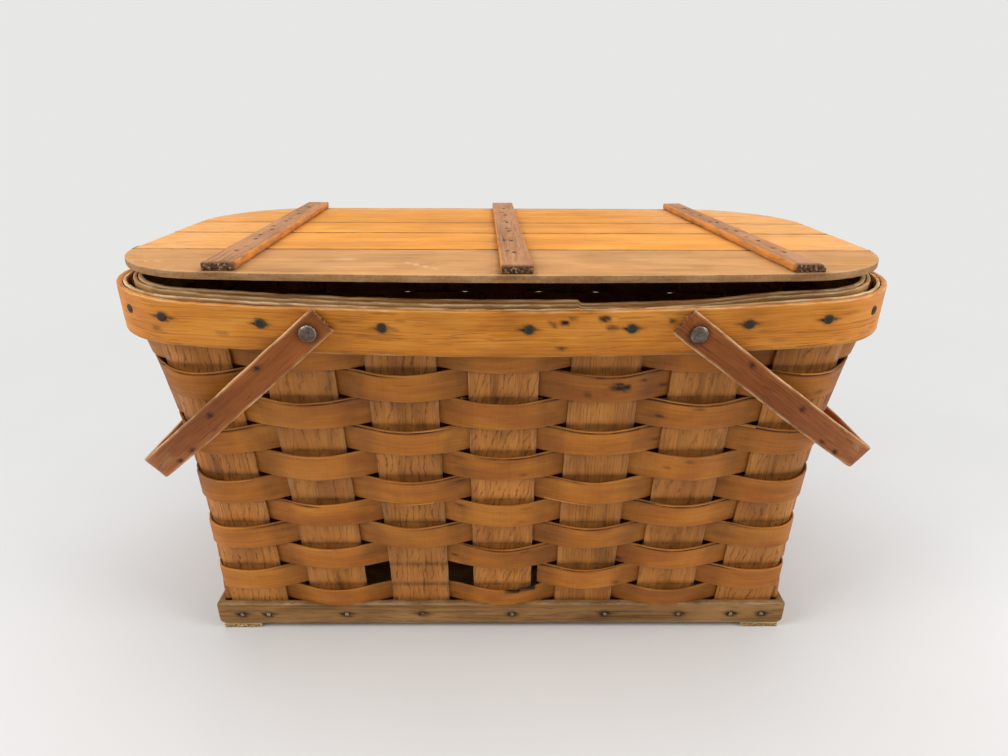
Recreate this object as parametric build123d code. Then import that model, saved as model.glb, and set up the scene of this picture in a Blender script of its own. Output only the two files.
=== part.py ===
from build123d import *
import math
import os

# Woven splint picnic basket with a flat hinged lid and two swinging bail handles.
# Millimetres. X runs along the basket, Y from front to back, Z up.
# The origin lies on the table, under the middle of the basket.

# Rim
RIM_LENGTH = 508.0
RIM_DEPTH = 274.0
RIM_BOW = 10.0
RIM_CORNER_RADIUS = 60.0
HOOP_THICKNESS = 3.5
HOOP_HEIGHT = 30.0
HOOP_SAG = 8.0
INNER_HOOP_THICKNESS = 3.0
INNER_HOOP_HEIGHT = 26.0
INNER_HOOP_SAG = 6.0
RIM_LAYER_STEP = 1.0
SAG_STEPS = 10
SAG_REACH = 1.1

# Splints of the wall
STAKE_WIDTH = 45.0
STAKE_THICKNESS = 1.8
FRONT_STAKES = 7
END_STAKES = 3
FRONT_STAKE_INSET = 33.0
END_STAKE_INSET = 38.5
WEAVER_THICKNESS = 1.6
WEAVER_HEIGHT = 20.5
WEAVER_GAP = 1.4
WEAVER_ROWS = 11
FOOT_ROW_HEIGHT = 16.5
RIM_WEAVER_HEIGHT = 27.8
WEAVE_EDGE_GAP = 0.5
FRONT_WEAVE_BULGE = 3.4
END_WEAVE_BULGE = 1.8
RIM_WEAVE_BULGE = 1.4
CORNER_STEPS = 4
BROKEN_ROW = 9
BREAK_STAKES = (1, 3)
BREAK_SHIFTS = (10.0, 26.0)

# Foot
END_FLARE = 26.0
FRONT_FLARE = 35.5
STRIP_THICKNESS = 5.0
STRIP_HEIGHT = 20.5
FOOT_CORNER_RADIUS = 5.0
BOARD_THICKNESS = 14.0
RUNNER_WIDTH = 30.0
RUNNER_HEIGHT = 4.5
FOOT_BOW = 0.05
WALL_FOOT_RADIUS = 4.0
END_FLARE_POWER = 3.0
FRONT_FLARE_POWER = 1.15

# Lid
LID_END_INSET = 0.0
LID_FRONT_INSET = 2.0
LID_BACK_INSET = 4.0
LID_FRONT_BOW = 13.0
LID_BACK_BOW = 1.0
LID_FRONT_RADIUS = 78.0
LID_BACK_RADIUS = 85.0
LID_THICKNESS = 4.5
LID_REST_GAP = 0.3
LID_AJAR = 1.2
PLANK_WIDTHS = (74.0, 63.0, 47.0)
PLANK_GAP = 0.3
BATTEN_WIDTH = 19.0
BATTEN_THICKNESS = 5.0
BATTEN_INSETS = (81.0, 80.0)
BATTEN_MIDDLE = 4.0
BATTEN_SKEWS = (1.3, 1.6, 4.2)
BATTEN_SET_BACK = 4.0
BATTEN_TAIL = 2.0
BATTEN_BEVEL = 3.0

# Hinges of the lid
HINGE_CENTRE = 47.0
HINGE_WIDTH = 26.0
HINGE_LEAF = 20.0
HINGE_LEAF_THICKNESS = 1.0
KNUCKLE_RADIUS = 2.2
HINGE_PIN_RADIUS = 1.0
KNUCKLE_GAP = 0.3

# Handles
PIVOT_SHIFT = 13.5
PIVOT_BELOW_HOOP_TOP = 15.0
HANDLE_REACH = 10.8
ARM_TAIL = 12.0
STRAP_WIDTH = 19.0
STRAP_THICKNESS = 4.0
STRAP_STAND_OFF = 1.3
ARM_STRAIGHT = 55.0
ARM_CANT = 18.0
HANDLE_BEND_RADIUS = 14.0
LEFT_HANG_ANGLE = 41.0
RIGHT_HANG_ANGLE = 37.0
RIVET_RADIUS = 2.4
RIVET_HEAD_RADIUS = 5.3
RIVET_HEAD_HEIGHT = 2.4
RIVET_BURR_RADIUS = 5.0
RIVET_BURR_HEIGHT = 1.2

# Nails
NAIL_SHANK = 2.2
NAIL_HEAD_RADIUS = 2.9
NAIL_HEAD_SIDES = 8
NAIL_HEAD_HEIGHT = 0.8
BRAD_PROUD = 0.4
RIM_NAIL_SHIFTS = (-10.0, -16.0, -8.0, 15.0, 12.0, 18.0, 2.0)
RIM_CORNER_NAIL_TURN = 38.0
RIM_NAIL_BELOW_TOP = 12.0
BASE_NAILS = ((0, -14.0), (0, 7.0), (1, 5.0), (2, 1.0), (3, 8.0), (4, 18.0), (5, 13.0), (6, -10.0), (6, 15.0))
BASE_NAIL_LENGTH = 15.0
BASE_NAIL_HEIGHT = 14.0
BATTEN_NAILS = 6
BATTEN_NAIL_SPACING = 38.0

# Fits
FIT = 0.3
RUNNING_FIT = 0.08
PIN_FIT = 0.04

# Places that follow from the sizes above
WEAVE_EDGE = (STAKE_THICKNESS + WEAVER_THICKNESS) / 2 + WEAVE_EDGE_GAP
RIM_WEAVE_REACH = WEAVE_EDGE + RIM_WEAVE_BULGE + WEAVER_THICKNESS / 2
RIM_STACK = HOOP_THICKNESS + FIT + RIM_WEAVE_REACH
STRIP_TOP = RUNNER_HEIGHT + STRIP_HEIGHT
FIRST_ROW = STRIP_TOP + FIT
FOOT_LENGTH = RIM_LENGTH - 2 * END_FLARE
FOOT_DEPTH = RIM_DEPTH - 2 * FRONT_FLARE
FOOT_LINE_X = FOOT_LENGTH / 2 - STRIP_THICKNESS - STAKE_THICKNESS / 2
FOOT_LINE_Y = FOOT_DEPTH / 2 - STRIP_THICKNESS - STAKE_THICKNESS / 2
RIM_LINE_X = RIM_LENGTH / 2 - RIM_STACK
RIM_LINE_Y = RIM_DEPTH / 2 - RIM_STACK
RIM_LINE_RADIUS = RIM_CORNER_RADIUS - RIM_STACK
STAKE_BOTTOM = RUNNER_HEIGHT + FIT
ON_BOTTOM = (Align.CENTER, Align.CENTER, Align.MIN)
ON_TOP = (Align.CENTER, Align.CENTER, Align.MAX)


def row_bottom(row):
    """Height of a weaver row's lower edge. Row 0 is the highest."""
    if row == WEAVER_ROWS - 1:
        return FIRST_ROW
    rows_above_foot = WEAVER_ROWS - 2 - row
    foot_row_top = FIRST_ROW + FOOT_ROW_HEIGHT + WEAVER_GAP
    return foot_row_top + rows_above_foot * (WEAVER_HEIGHT + WEAVER_GAP)


def row_top(row):
    height = FOOT_ROW_HEIGHT if row == WEAVER_ROWS - 1 else WEAVER_HEIGHT
    return row_bottom(row) + height


FLARE_END = row_top(0)
HOOP_TOP = FLARE_END + WEAVER_GAP + RIM_WEAVER_HEIGHT
HOOP_BOTTOM = HOOP_TOP - HOOP_HEIGHT
INNER_HOOP_TOP = HOOP_TOP + 2 * RIM_LAYER_STEP
LID_UNDERSIDE = INNER_HOOP_TOP + LID_REST_GAP
LID_TOP = LID_UNDERSIDE + LID_THICKNESS
LID_LENGTH = RIM_LENGTH - 2 * LID_END_INSET
LID_FRONT = RIM_DEPTH / 2 - LID_FRONT_INSET
LID_BACK = RIM_DEPTH / 2 - LID_BACK_INSET
BATTEN_CENTRES = (BATTEN_INSETS[0] - LID_LENGTH / 2, BATTEN_MIDDLE, LID_LENGTH / 2 - BATTEN_INSETS[1])


# Plan of the wall


class Plan:
    """A rounded rectangle with bowed long sides, in which every arc meets the next one square."""

    def __init__(self, half_length, half_depth, bow, radius):
        self.half_length = half_length
        self.half_depth = half_depth
        self.radius = radius
        self.side_radius = (half_length**2 + bow**2) / (2 * bow)
        self.side_centre = self.side_radius - half_depth
        self.corner_x = half_length - radius
        reach = self.side_radius - radius
        self.corner_y = math.sqrt(reach**2 - self.corner_x**2) - self.side_centre
        self.turn_start = math.asin(self.corner_x / reach)

    def front(self, x, offset=0.0):
        """The point of the front side at x, moved out by offset along the wall's own normal."""
        if abs(x) <= self.side_radius * math.sin(self.turn_start):
            angle = math.asin(x / self.side_radius)
            reach = self.side_radius + offset
            return reach * math.sin(angle), self.side_centre - reach * math.cos(angle)
        angle = math.asin(min(1.0, (abs(x) - self.corner_x) / self.radius))
        return self.corner(angle, offset, math.copysign(1.0, x))

    def corner(self, angle, offset, side):
        """A point of a front corner. The angle grows from the front side, 0, to the end, 90 degrees."""
        reach = self.radius + offset
        x = self.corner_x + reach * math.sin(angle)
        y = -self.corner_y - reach * math.cos(angle)
        return side * x, y

    def front_angle(self, x):
        """How far round the corner the front point at x lies."""
        if x <= self.side_radius * math.sin(self.turn_start):
            return self.turn_start
        return math.asin(min(1.0, (x - self.corner_x) / self.radius))

    def end(self, y, offset=0.0):
        """The point of the right end at y."""
        if abs(y) <= self.corner_y:
            return self.half_length + offset, y
        angle = self.end_angle(y)
        x, front_y = self.corner(angle, offset, 1.0)
        return x, math.copysign(front_y, y)

    def end_angle(self, y):
        """How far round the corner the end's point at y lies."""
        if abs(y) <= self.corner_y:
            return math.pi / 2
        return math.acos(min(1.0, (abs(y) - self.corner_y) / self.radius))

    def face(self, offset):
        """The whole plan, moved out by offset, as a face bounded by true arcs and lines."""
        start = self.turn_start
        middle = (start + math.pi / 2) / 2
        tangent = self.corner(start, offset, 1.0)
        turn = self.corner(middle, offset, 1.0)
        end = self.corner(math.pi / 2, offset, 1.0)
        apex = (0.0, -self.half_depth - offset)

        def flip(point, x_sign, y_sign):
            return point[0] * x_sign, point[1] * y_sign

        edges = []
        for y_sign in (1, -1):
            edges.append(ThreePointArc(flip(tangent, -1, y_sign), flip(apex, 1, y_sign), flip(tangent, 1, y_sign)))
            for x_sign in (1, -1):
                corner = [flip(point, x_sign, y_sign) for point in (tangent, turn, end)]
                edges.append(ThreePointArc(*corner))
        for x_sign in (1, -1):
            edges.append(Line(flip(end, x_sign, 1), flip(end, x_sign, -1)))
        return make_face(edges)


RIM_PLAN = Plan(RIM_LINE_X, RIM_LINE_Y, RIM_BOW, RIM_LINE_RADIUS)


def wall_plan(z):
    """The line of the stakes at height z: square at the foot, rounded and bowed at the rim."""
    rise = min(1.0, max(0.0, (z - STRIP_TOP) / (FLARE_END - STRIP_TOP)))
    half_length = FOOT_LINE_X + (RIM_LINE_X - FOOT_LINE_X) * rise**END_FLARE_POWER
    half_depth = FOOT_LINE_Y + (RIM_LINE_Y - FOOT_LINE_Y) * rise**FRONT_FLARE_POWER
    radius = WALL_FOOT_RADIUS + (RIM_LINE_RADIUS - WALL_FOOT_RADIUS) * rise
    bow = FOOT_BOW + (RIM_BOW - FOOT_BOW) * rise**2
    return Plan(half_length, half_depth, bow, radius)


# Stakes


def stake_places(length, inset, count):
    """Evenly spaced middles of a side's stakes, with the outer ones set in from its ends at the foot."""
    pitch = (length - 2 * inset) / (count - 1)
    return [(n - (count - 1) / 2) * pitch for n in range(count)]


FRONT_PLACES = stake_places(FOOT_LENGTH, FRONT_STAKE_INSET, FRONT_STAKES)
END_PLACES = stake_places(FOOT_DEPTH, END_STAKE_INSET, END_STAKES)
SIDES = (("front", FRONT_PLACES), ("right", END_PLACES), ("back", FRONT_PLACES), ("left", END_PLACES))


def side_point(plan, side, place, offset):
    """The wall's point at a place on one of its four sides, counted the same way round."""
    if side == "front":
        return plan.front(place, offset)
    if side == "back":
        x, y = plan.front(place, offset)
        return -x, -y
    x, y = plan.end(place, offset)
    return (x, y) if side == "right" else (-x, -y)


def splint_section(side, columns, z):
    """A stake's closed section at height z, along the wall's curve."""
    plan = wall_plan(z)
    half = STAKE_THICKNESS / 2
    outside = [side_point(plan, side, place, half) for place in columns]
    inside = [side_point(plan, side, place, -half) for place in columns]
    points = outside + inside[::-1]
    return Wire.make_polygon([Vector(x, y, z) for x, y in points])


def hoop_top_at(x, top, sag):
    """Height of a hoop's top edge, which sags between the ends of the basket."""
    return top - sag * (1 - (x / (RIM_LENGTH / 2)) ** 2)


def make_stake(side, place, at_corner):
    half = STAKE_WIDTH / 2
    columns = [place - half, place, place + half] if at_corner else [place - half, place + half]
    x = abs(place) if side in ("front", "back") else RIM_LINE_X
    top = hoop_top_at(x, HOOP_TOP + RIM_LAYER_STEP, HOOP_SAG)
    levels = [STAKE_BOTTOM, STRIP_TOP]
    levels += [row_bottom(row) for row in range(WEAVER_ROWS - 2, -1, -1)]
    levels += [FLARE_END, top]
    return Solid.make_loft([splint_section(side, columns, z) for z in levels], ruled=True)


def make_stakes():
    """Every stake by name, in order round the basket from the front left."""
    stakes = {}
    for side, places in SIDES:
        for number, place in enumerate(places):
            at_corner = number in (0, len(places) - 1)
            stakes[f"stake_{side}_{number + 1}"] = make_stake(side, place, at_corner)
    return stakes


# Weavers


def weave_centre(row, side):
    """How far a weaver stands off the stakes' line at the middle of a stake."""
    if row <= 0:
        return WEAVE_EDGE + RIM_WEAVE_BULGE
    return WEAVE_EDGE + (FRONT_WEAVE_BULGE if side in ("front", "back") else END_WEAVE_BULGE)


def weaver_stations(row):
    """Where a weaver bends: (side, place, offset) at the stakes and (corner, turn, offset) between sides."""
    stations = []
    count = 0
    for side, places in SIDES:
        for place in places:
            out = 1 if (count + row) % 2 else -1
            for step, offset in ((-1, WEAVE_EDGE), (0, weave_centre(row, side)), (1, WEAVE_EDGE)):
                stations.append((side, place + step * STAKE_WIDTH / 2, out * offset))
            count += 1
        for step in range(1, CORNER_STEPS):
            turn = step / CORNER_STEPS
            stations.append((side + " corner", turn, out * WEAVE_EDGE * (1 - 2 * turn)))
    return stations


def corner_point(plan, side, turn, offset):
    """A point of the corner that follows a side, a share of the way between its two nearest stakes."""
    front_edge = FRONT_PLACES[-1] + STAKE_WIDTH / 2
    end_edge = END_PLACES[-1] + STAKE_WIDTH / 2
    along = turn if side in ("front", "back") else 1 - turn
    first = plan.front_angle(front_edge)
    last = plan.end_angle(end_edge)
    x, y = plan.corner(first + (last - first) * along, offset, 1.0)
    signs = {"front": (1, 1), "right": (1, -1), "back": (-1, -1), "left": (-1, 1)}
    return x * signs[side][0], y * signs[side][1]


def weaver_outline(row, z, extra):
    """A weaver's closed line at height z, moved out by extra."""
    plan = wall_plan(z)
    points = []
    for side, place, offset in weaver_stations(row):
        if side.endswith("corner"):
            points.append(corner_point(plan, side.split()[0], place, offset + extra))
        else:
            points.append(side_point(plan, side, place, offset + extra))
    return Wire.make_polygon([Vector(x, y, z) for x, y in points])


def make_weaver(row, bottom, top):
    """One weaver, once round the basket, over and under the stakes."""
    half = WEAVER_THICKNESS / 2
    outer = Solid.make_loft([weaver_outline(row, z, half) for z in (bottom, top)], ruled=True)
    inner = Solid.make_loft([weaver_outline(row, z, -half) for z in (bottom, top)], ruled=True)
    return outer - inner


def make_broken_weaver():
    """The second weaver from the foot, whose front has broken away between two stakes."""
    ring = make_weaver(BROKEN_ROW, row_bottom(BROKEN_ROW), row_top(BROKEN_ROW))
    start, end = (FRONT_PLACES[n] + shift for n, shift in zip(BREAK_STAKES, BREAK_SHIFTS))
    width = end - start
    gap = Pos((start + end) / 2, -RIM_DEPTH / 2, row_bottom(BROKEN_ROW) + WEAVER_HEIGHT / 2)
    return ring - gap * Box(width, RIM_DEPTH / 2, 2 * WEAVER_HEIGHT)


# Rim


def sag_profile(bottom, top, sag):
    """A plate across the whole rim whose lower and upper edges sag together in the middle."""
    places = [(n / SAG_STEPS - 0.5) * SAG_REACH * RIM_LENGTH for n in range(SAG_STEPS + 1)]
    upper = [(x, hoop_top_at(x, top, sag)) for x in places]
    lower = [(x, hoop_top_at(x, bottom, sag)) for x in places]
    return extrude(Plane.XZ * make_face(Polyline(*upper, *lower[::-1], close=True)), RIM_DEPTH, both=True)


def make_hoop(inner_offset, outer_offset, profile):
    """A hoop between two offsets of the rim's plan, cut to the profile that its edges follow."""
    ring = RIM_PLAN.face(outer_offset) - RIM_PLAN.face(inner_offset)
    return extrude(ring, 2 * HOOP_TOP) & profile


def make_outer_hoop():
    profile = sag_profile(HOOP_BOTTOM, HOOP_TOP, HOOP_SAG)
    return make_hoop(RIM_STACK - HOOP_THICKNESS, RIM_STACK, profile)


def make_inner_hoop():
    face = -RIM_WEAVE_REACH - FIT
    profile = sag_profile(INNER_HOOP_TOP - INNER_HOOP_HEIGHT, INNER_HOOP_TOP, INNER_HOOP_SAG)
    return make_hoop(face - INNER_HOOP_THICKNESS, face, profile)


def make_rim_weaver():
    """The last weaver, which runs between the two hoops."""
    bottom = row_top(0) + WEAVER_GAP
    ring = make_weaver(-1, bottom, INNER_HOOP_TOP)
    return ring & sag_profile(FIRST_ROW, HOOP_TOP + RIM_LAYER_STEP, HOOP_SAG)


# Foot


def make_base_board():
    half = STAKE_THICKNESS / 2
    length = 2 * (FOOT_LINE_X - half)
    depth = 2 * (FOOT_LINE_Y - half - FOOT_BOW)
    return Pos(0, 0, RUNNER_HEIGHT) * Box(length, depth, BOARD_THICKNESS, align=ON_BOTTOM)


def make_long_strip(side):
    """The strip along the front, side -1, or the back, side 1, with eased lower corners."""
    strip = Box(FOOT_LENGTH, STRIP_THICKNESS, STRIP_HEIGHT, align=ON_BOTTOM)
    ends = strip.edges().filter_by(Axis.Y).group_by(Axis.Z)[0]
    strip = fillet(ends, FOOT_CORNER_RADIUS)
    return Pos(0, side * (FOOT_DEPTH - STRIP_THICKNESS) / 2, RUNNER_HEIGHT) * strip


def make_end_strip(side):
    length = FOOT_DEPTH - 2 * STRIP_THICKNESS
    strip = Box(STRIP_THICKNESS, length, STRIP_HEIGHT, align=ON_BOTTOM)
    return Pos(side * (FOOT_LENGTH - STRIP_THICKNESS) / 2, 0, RUNNER_HEIGHT) * strip


def make_runner(side):
    """A cleat from front to back under one end of the board."""
    runner = Box(RUNNER_WIDTH, FOOT_DEPTH - 2 * FIT, RUNNER_HEIGHT, align=ON_BOTTOM)
    return Pos(side * (FOOT_LENGTH / 2 - STRIP_THICKNESS / 2 - RUNNER_WIDTH / 2), 0, 0) * runner


# Lid


def lid_outline():
    """The lid's plan: a bowed front, a nearly straight back and rounder back corners."""
    half = LID_LENGTH / 2
    front_y = -LID_FRONT + LID_FRONT_BOW
    back_y = LID_BACK - LID_BACK_BOW
    front = ThreePointArc((-half, front_y), (0, -LID_FRONT), (half, front_y))
    back = ThreePointArc((half, back_y), (0, LID_BACK), (-half, back_y))
    sides = [Line((half, front_y), (half, back_y)), Line((-half, back_y), (-half, front_y))]
    face = make_face([front, sides[0], back, sides[1]])
    front_corners = face.vertices().group_by(Axis.Y)[0]
    face = fillet(front_corners, LID_FRONT_RADIUS)
    back_corners = [v for v in face.vertices() if abs(v.Y - back_y) < LID_BACK_BOW and abs(v.X) > half - 1]
    return fillet(back_corners, LID_BACK_RADIUS)


def plank_edges():
    """The y of the seams between the planks, with the lid's front and back."""
    edges = [-LID_FRONT]
    for width in PLANK_WIDTHS:
        edges.append(edges[-1] + width)
    return edges + [LID_BACK]


def make_planks():
    """The lid's boards, from the front, named by number."""
    board = extrude(Pos(0, 0, LID_UNDERSIDE) * lid_outline(), LID_THICKNESS)
    edges = plank_edges()
    planks = {}
    for number, (front, back) in enumerate(zip(edges, edges[1:])):
        near = front if number == 0 else front + PLANK_GAP / 2
        far = back if number == len(edges) - 2 else back - PLANK_GAP / 2
        slab = Pos(0, (near + far) / 2, LID_TOP) * Box(2 * LID_LENGTH, far - near, 4 * LID_THICKNESS)
        planks[f"lid_plank_{number + 1}"] = board & slab
    return planks


def batten_place(number):
    """A batten's own frame: centred on its length, on top of the lid, turned by its skew."""
    near = -LID_FRONT + BATTEN_SET_BACK + LID_FRONT_BOW * (BATTEN_CENTRES[number] / (LID_LENGTH / 2)) ** 2
    far = LID_BACK + BATTEN_TAIL
    place = Pos(BATTEN_CENTRES[number], (near + far) / 2, LID_TOP) * Rot(0, 0, BATTEN_SKEWS[number])
    return place, far - near


def make_batten(number):
    place, length = batten_place(number)
    batten = Box(BATTEN_WIDTH, length, BATTEN_THICKNESS, align=ON_BOTTOM)
    if number == len(BATTEN_CENTRES) - 1:
        arris = batten.edges().filter_by(Axis.Y).group_by(Axis.Z)[-1].sort_by(Axis.X)[-1]
        batten = chamfer(arris, BATTEN_BEVEL)
    return place * batten


# Hinges of the lid

HINGE_FACE = RIM_PLAN.front(HINGE_CENTRE - HINGE_WIDTH / 2, RIM_STACK)[1]
HINGE_AXIS_Y = -HINGE_FACE + KNUCKLE_RADIUS
HINGE_AXIS_Z = LID_UNDERSIDE - KNUCKLE_RADIUS


def knuckle(x, width):
    """One bored knuckle on the hinge axis."""
    ring = Cylinder(KNUCKLE_RADIUS, width) - Cylinder(HINGE_PIN_RADIUS + PIN_FIT, 2 * width)
    return Pos(x, HINGE_AXIS_Y, HINGE_AXIS_Z) * Rot(0, 90, 0) * ring


def make_lid_leaf(x):
    """The leaf under the lid, with the middle knuckle."""
    middle = HINGE_WIDTH / 3 - KNUCKLE_GAP
    front = HINGE_AXIS_Y - HINGE_LEAF
    hung = (Align.CENTER, Align.MIN, Align.MAX)
    plate = Box(HINGE_WIDTH, HINGE_LEAF - KNUCKLE_RADIUS - FIT, HINGE_LEAF_THICKNESS, align=hung)
    tongue = Box(middle, HINGE_LEAF, HINGE_LEAF_THICKNESS, align=hung)
    bore = Pos(x, HINGE_AXIS_Y, HINGE_AXIS_Z) * Rot(0, 90, 0) * Cylinder(HINGE_PIN_RADIUS + PIN_FIT, HINGE_WIDTH)
    leaf = Pos(x, front, LID_UNDERSIDE) * (plate + tongue)
    return leaf + knuckle(x, middle) - bore


def make_rim_leaf(x):
    """The leaf on the back of the hoop, bent to its curve, with the two outer knuckles."""
    leaf_bottom = HINGE_AXIS_Z - HINGE_LEAF
    plate_top = HINGE_AXIS_Z - KNUCKLE_RADIUS - FIT
    band = RIM_PLAN.face(RIM_STACK + HINGE_LEAF_THICKNESS) - RIM_PLAN.face(RIM_STACK)
    behind = (Align.CENTER, Align.MIN, Align.MIN)
    window = Pos(x, 0, 0) * Box(HINGE_WIDTH, RIM_DEPTH, 2 * HOOP_TOP, align=behind)
    leaf = extrude(Pos(0, 0, leaf_bottom) * band, plate_top - leaf_bottom) & window
    bore = Pos(x, HINGE_AXIS_Y, HINGE_AXIS_Z) * Rot(0, 90, 0) * Cylinder(HINGE_PIN_RADIUS + PIN_FIT, HINGE_WIDTH)
    third = HINGE_WIDTH / 3
    face_y = HINGE_AXIS_Y - KNUCKLE_RADIUS
    rise = HINGE_AXIS_Z - plate_top + HINGE_LEAF_THICKNESS
    for side in (-1, 1):
        tongue = Box(third, HINGE_LEAF_THICKNESS, rise, align=(Align.CENTER, Align.MIN, Align.MAX))
        leaf += Pos(x + side * third, face_y, HINGE_AXIS_Z) * tongue
        leaf += knuckle(x + side * third, third)
    return leaf - bore


def make_hinge_pin(x):
    return Pos(x, HINGE_AXIS_Y, HINGE_AXIS_Z) * Rot(0, 90, 0) * Cylinder(HINGE_PIN_RADIUS, HINGE_WIDTH)


# Handles

PIVOT_X = FRONT_PLACES[-2] - PIVOT_SHIFT
ARM_LENGTH = (FOOT_LENGTH / 2 + HANDLE_REACH - PIVOT_X) / math.cos(math.radians(LEFT_HANG_ANGLE))
PIVOT_Z = hoop_top_at(PIVOT_X, HOOP_TOP, HOOP_SAG) - PIVOT_BELOW_HOOP_TOP
HOOP_FACE_AT_PIVOT = -RIM_PLAN.front(PIVOT_X, RIM_STACK)[1]
INNER_FACE_AT_PIVOT = -RIM_PLAN.front(PIVOT_X, -RIM_WEAVE_REACH - FIT - INNER_HOOP_THICKNESS)[1]
ARM_LINE_Y = HOOP_FACE_AT_PIVOT + STRAP_STAND_OFF + STRAP_THICKNESS / 2


def strap_edge(offset):
    """One edge of half a handle, seen along the strap's width, as far as its middle."""
    cant = math.radians(ARM_CANT)
    cross_x = ARM_LENGTH + STRAP_THICKNESS / 2
    bend_x = cross_x - HANDLE_BEND_RADIUS
    draw_radius = (bend_x - ARM_STRAIGHT) / math.sin(cant) + HANDLE_BEND_RADIUS
    draw_y = draw_radius - ARM_LINE_Y
    bend_y = draw_y - (draw_radius - HANDLE_BEND_RADIUS) * math.cos(cant)

    def on_arc(x, y, radius, angle):
        return x + radius * math.sin(angle), y - radius * math.cos(angle)

    tail = (-ARM_TAIL, -ARM_LINE_Y - offset)
    draw = [on_arc(ARM_STRAIGHT, draw_y, draw_radius + offset, angle) for angle in (0, cant / 2, cant)]
    turns = (cant, (cant + math.pi / 2) / 2, math.pi / 2)
    bend = [on_arc(bend_x, bend_y, HANDLE_BEND_RADIUS + offset, angle) for angle in turns]
    middle = (cross_x + offset, 0)
    return [Line(tail, draw[0]), ThreePointArc(*draw), ThreePointArc(*bend), Line(bend[-1], middle)]


def make_handle():
    """A bent strap handle lying level towards +X, with its pivot on the Y axis."""
    outer = strap_edge(STRAP_THICKNESS / 2)
    inner = strap_edge(-STRAP_THICKNESS / 2)
    caps = [Line(outer[0] @ 0, inner[0] @ 0), Line(outer[-1] @ 1, inner[-1] @ 1)]
    half = make_face(outer + inner + caps)
    strap = extrude(half + mirror(half, about=Plane.XZ), STRAP_WIDTH / 2, both=True)
    bore = Rot(90, 0, 0) * Cylinder(RIVET_RADIUS + RUNNING_FIT, 2 * RIM_DEPTH)
    return strap - bore


def make_left_handle():
    return Pos(-PIVOT_X, 0, PIVOT_Z) * Rot(0, -LEFT_HANG_ANGLE, 0) * Rot(0, 0, 180) * make_handle()


def make_right_handle():
    return Pos(PIVOT_X, 0, PIVOT_Z) * Rot(0, RIGHT_HANG_ANGLE, 0) * make_handle()


def make_rivet(x, side):
    """A domed rivet through the rim and the strap, clinched over a burr inside. Side -1 is the front."""
    strap_face = HOOP_FACE_AT_PIVOT + STRAP_STAND_OFF + STRAP_THICKNESS + FIT
    burr_face = INNER_FACE_AT_PIVOT - FIT
    shank = Pos(0, 0, burr_face) * Cylinder(RIVET_RADIUS, strap_face - burr_face, align=ON_BOTTOM)
    dome_radius = (RIVET_HEAD_RADIUS**2 + RIVET_HEAD_HEIGHT**2) / (2 * RIVET_HEAD_HEIGHT)
    cap_start = dome_radius - RIVET_HEAD_HEIGHT
    cap = Pos(0, 0, cap_start) * Cylinder(dome_radius, RIVET_HEAD_HEIGHT, align=ON_BOTTOM)
    head = Pos(0, 0, strap_face - cap_start) * (Sphere(dome_radius) & cap)
    burr = Pos(0, 0, burr_face) * Cylinder(RIVET_BURR_RADIUS, RIVET_BURR_HEIGHT, align=ON_TOP)
    return Pos(x, 0, PIVOT_Z) * Rot(-90 * side, 0, 0) * (shank + head + burr)


# Nails


def make_brad(start, end):
    """A square cut brad from one point to another."""
    towards = Vector(end) - Vector(start)
    brad = Box(NAIL_SHANK, NAIL_SHANK, towards.length + BRAD_PROUD, align=ON_BOTTOM)
    return Plane(origin=start, z_dir=towards) * Pos(0, 0, -BRAD_PROUD) * brad


def make_rim_nail(outer, inner):
    """A cut nail with a low head, through both hoops."""
    z = hoop_top_at(outer[0], HOOP_TOP, HOOP_SAG) - RIM_NAIL_BELOW_TOP
    towards = Vector(*inner) - Vector(*outer)
    shank = Box(NAIL_SHANK, NAIL_SHANK, towards.length, align=ON_BOTTOM)
    head = extrude(RegularPolygon(NAIL_HEAD_RADIUS, NAIL_HEAD_SIDES), -NAIL_HEAD_HEIGHT)
    return Plane(origin=(*outer, z), z_dir=towards) * (shank + head)


def make_rim_nails():
    """Nails through both hoops, at the stakes and once in each corner."""
    depths = (RIM_STACK, -RIM_WEAVE_REACH - FIT - INNER_HOOP_THICKNESS)
    nails = []
    for side, places in SIDES:
        shifts = RIM_NAIL_SHIFTS if side in ("front", "back") else (0,) * len(places)
        for place, shift in zip(places, shifts):
            outer, inner = (side_point(RIM_PLAN, side, place + shift, depth) for depth in depths)
            nails.append(make_rim_nail(outer, inner))
    turn = math.radians(RIM_CORNER_NAIL_TURN)
    for x_sign in (-1, 1):
        for y_sign in (-1, 1):
            points = [RIM_PLAN.corner(turn, depth, x_sign) for depth in depths]
            outer, inner = ((x, -y * y_sign) for x, y in points)
            nails.append(make_rim_nail(outer, inner))
    return nails


def make_base_nails():
    """Nails through the strips and the feet of the stakes into the board."""
    nails = []
    for side in (-1, 1):
        for stake, shift in BASE_NAILS:
            place = FRONT_PLACES[stake] + shift
            start = (-side * place, side * FOOT_DEPTH / 2, BASE_NAIL_HEIGHT)
            end = (-side * place, side * (FOOT_DEPTH / 2 - BASE_NAIL_LENGTH), BASE_NAIL_HEIGHT)
            nails.append(make_brad(start, end))
        for place in END_PLACES:
            start = (side * FOOT_LENGTH / 2, place, BASE_NAIL_HEIGHT)
            end = (side * (FOOT_LENGTH / 2 - BASE_NAIL_LENGTH), place, BASE_NAIL_HEIGHT)
            nails.append(make_brad(start, end))
    return nails


def make_batten_nails(number):
    """A row of nails down through one batten and the planks under it."""
    place, _ = batten_place(number)
    row = [(n - (BATTEN_NAILS - 1) / 2) * BATTEN_NAIL_SPACING for n in range(BATTEN_NAILS)]
    nail = make_brad((0, 0, BATTEN_THICKNESS), (0, 0, -LID_THICKNESS))
    return [place * Pos(0, along, 0) * nail for along in row]


# The whole basket


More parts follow.
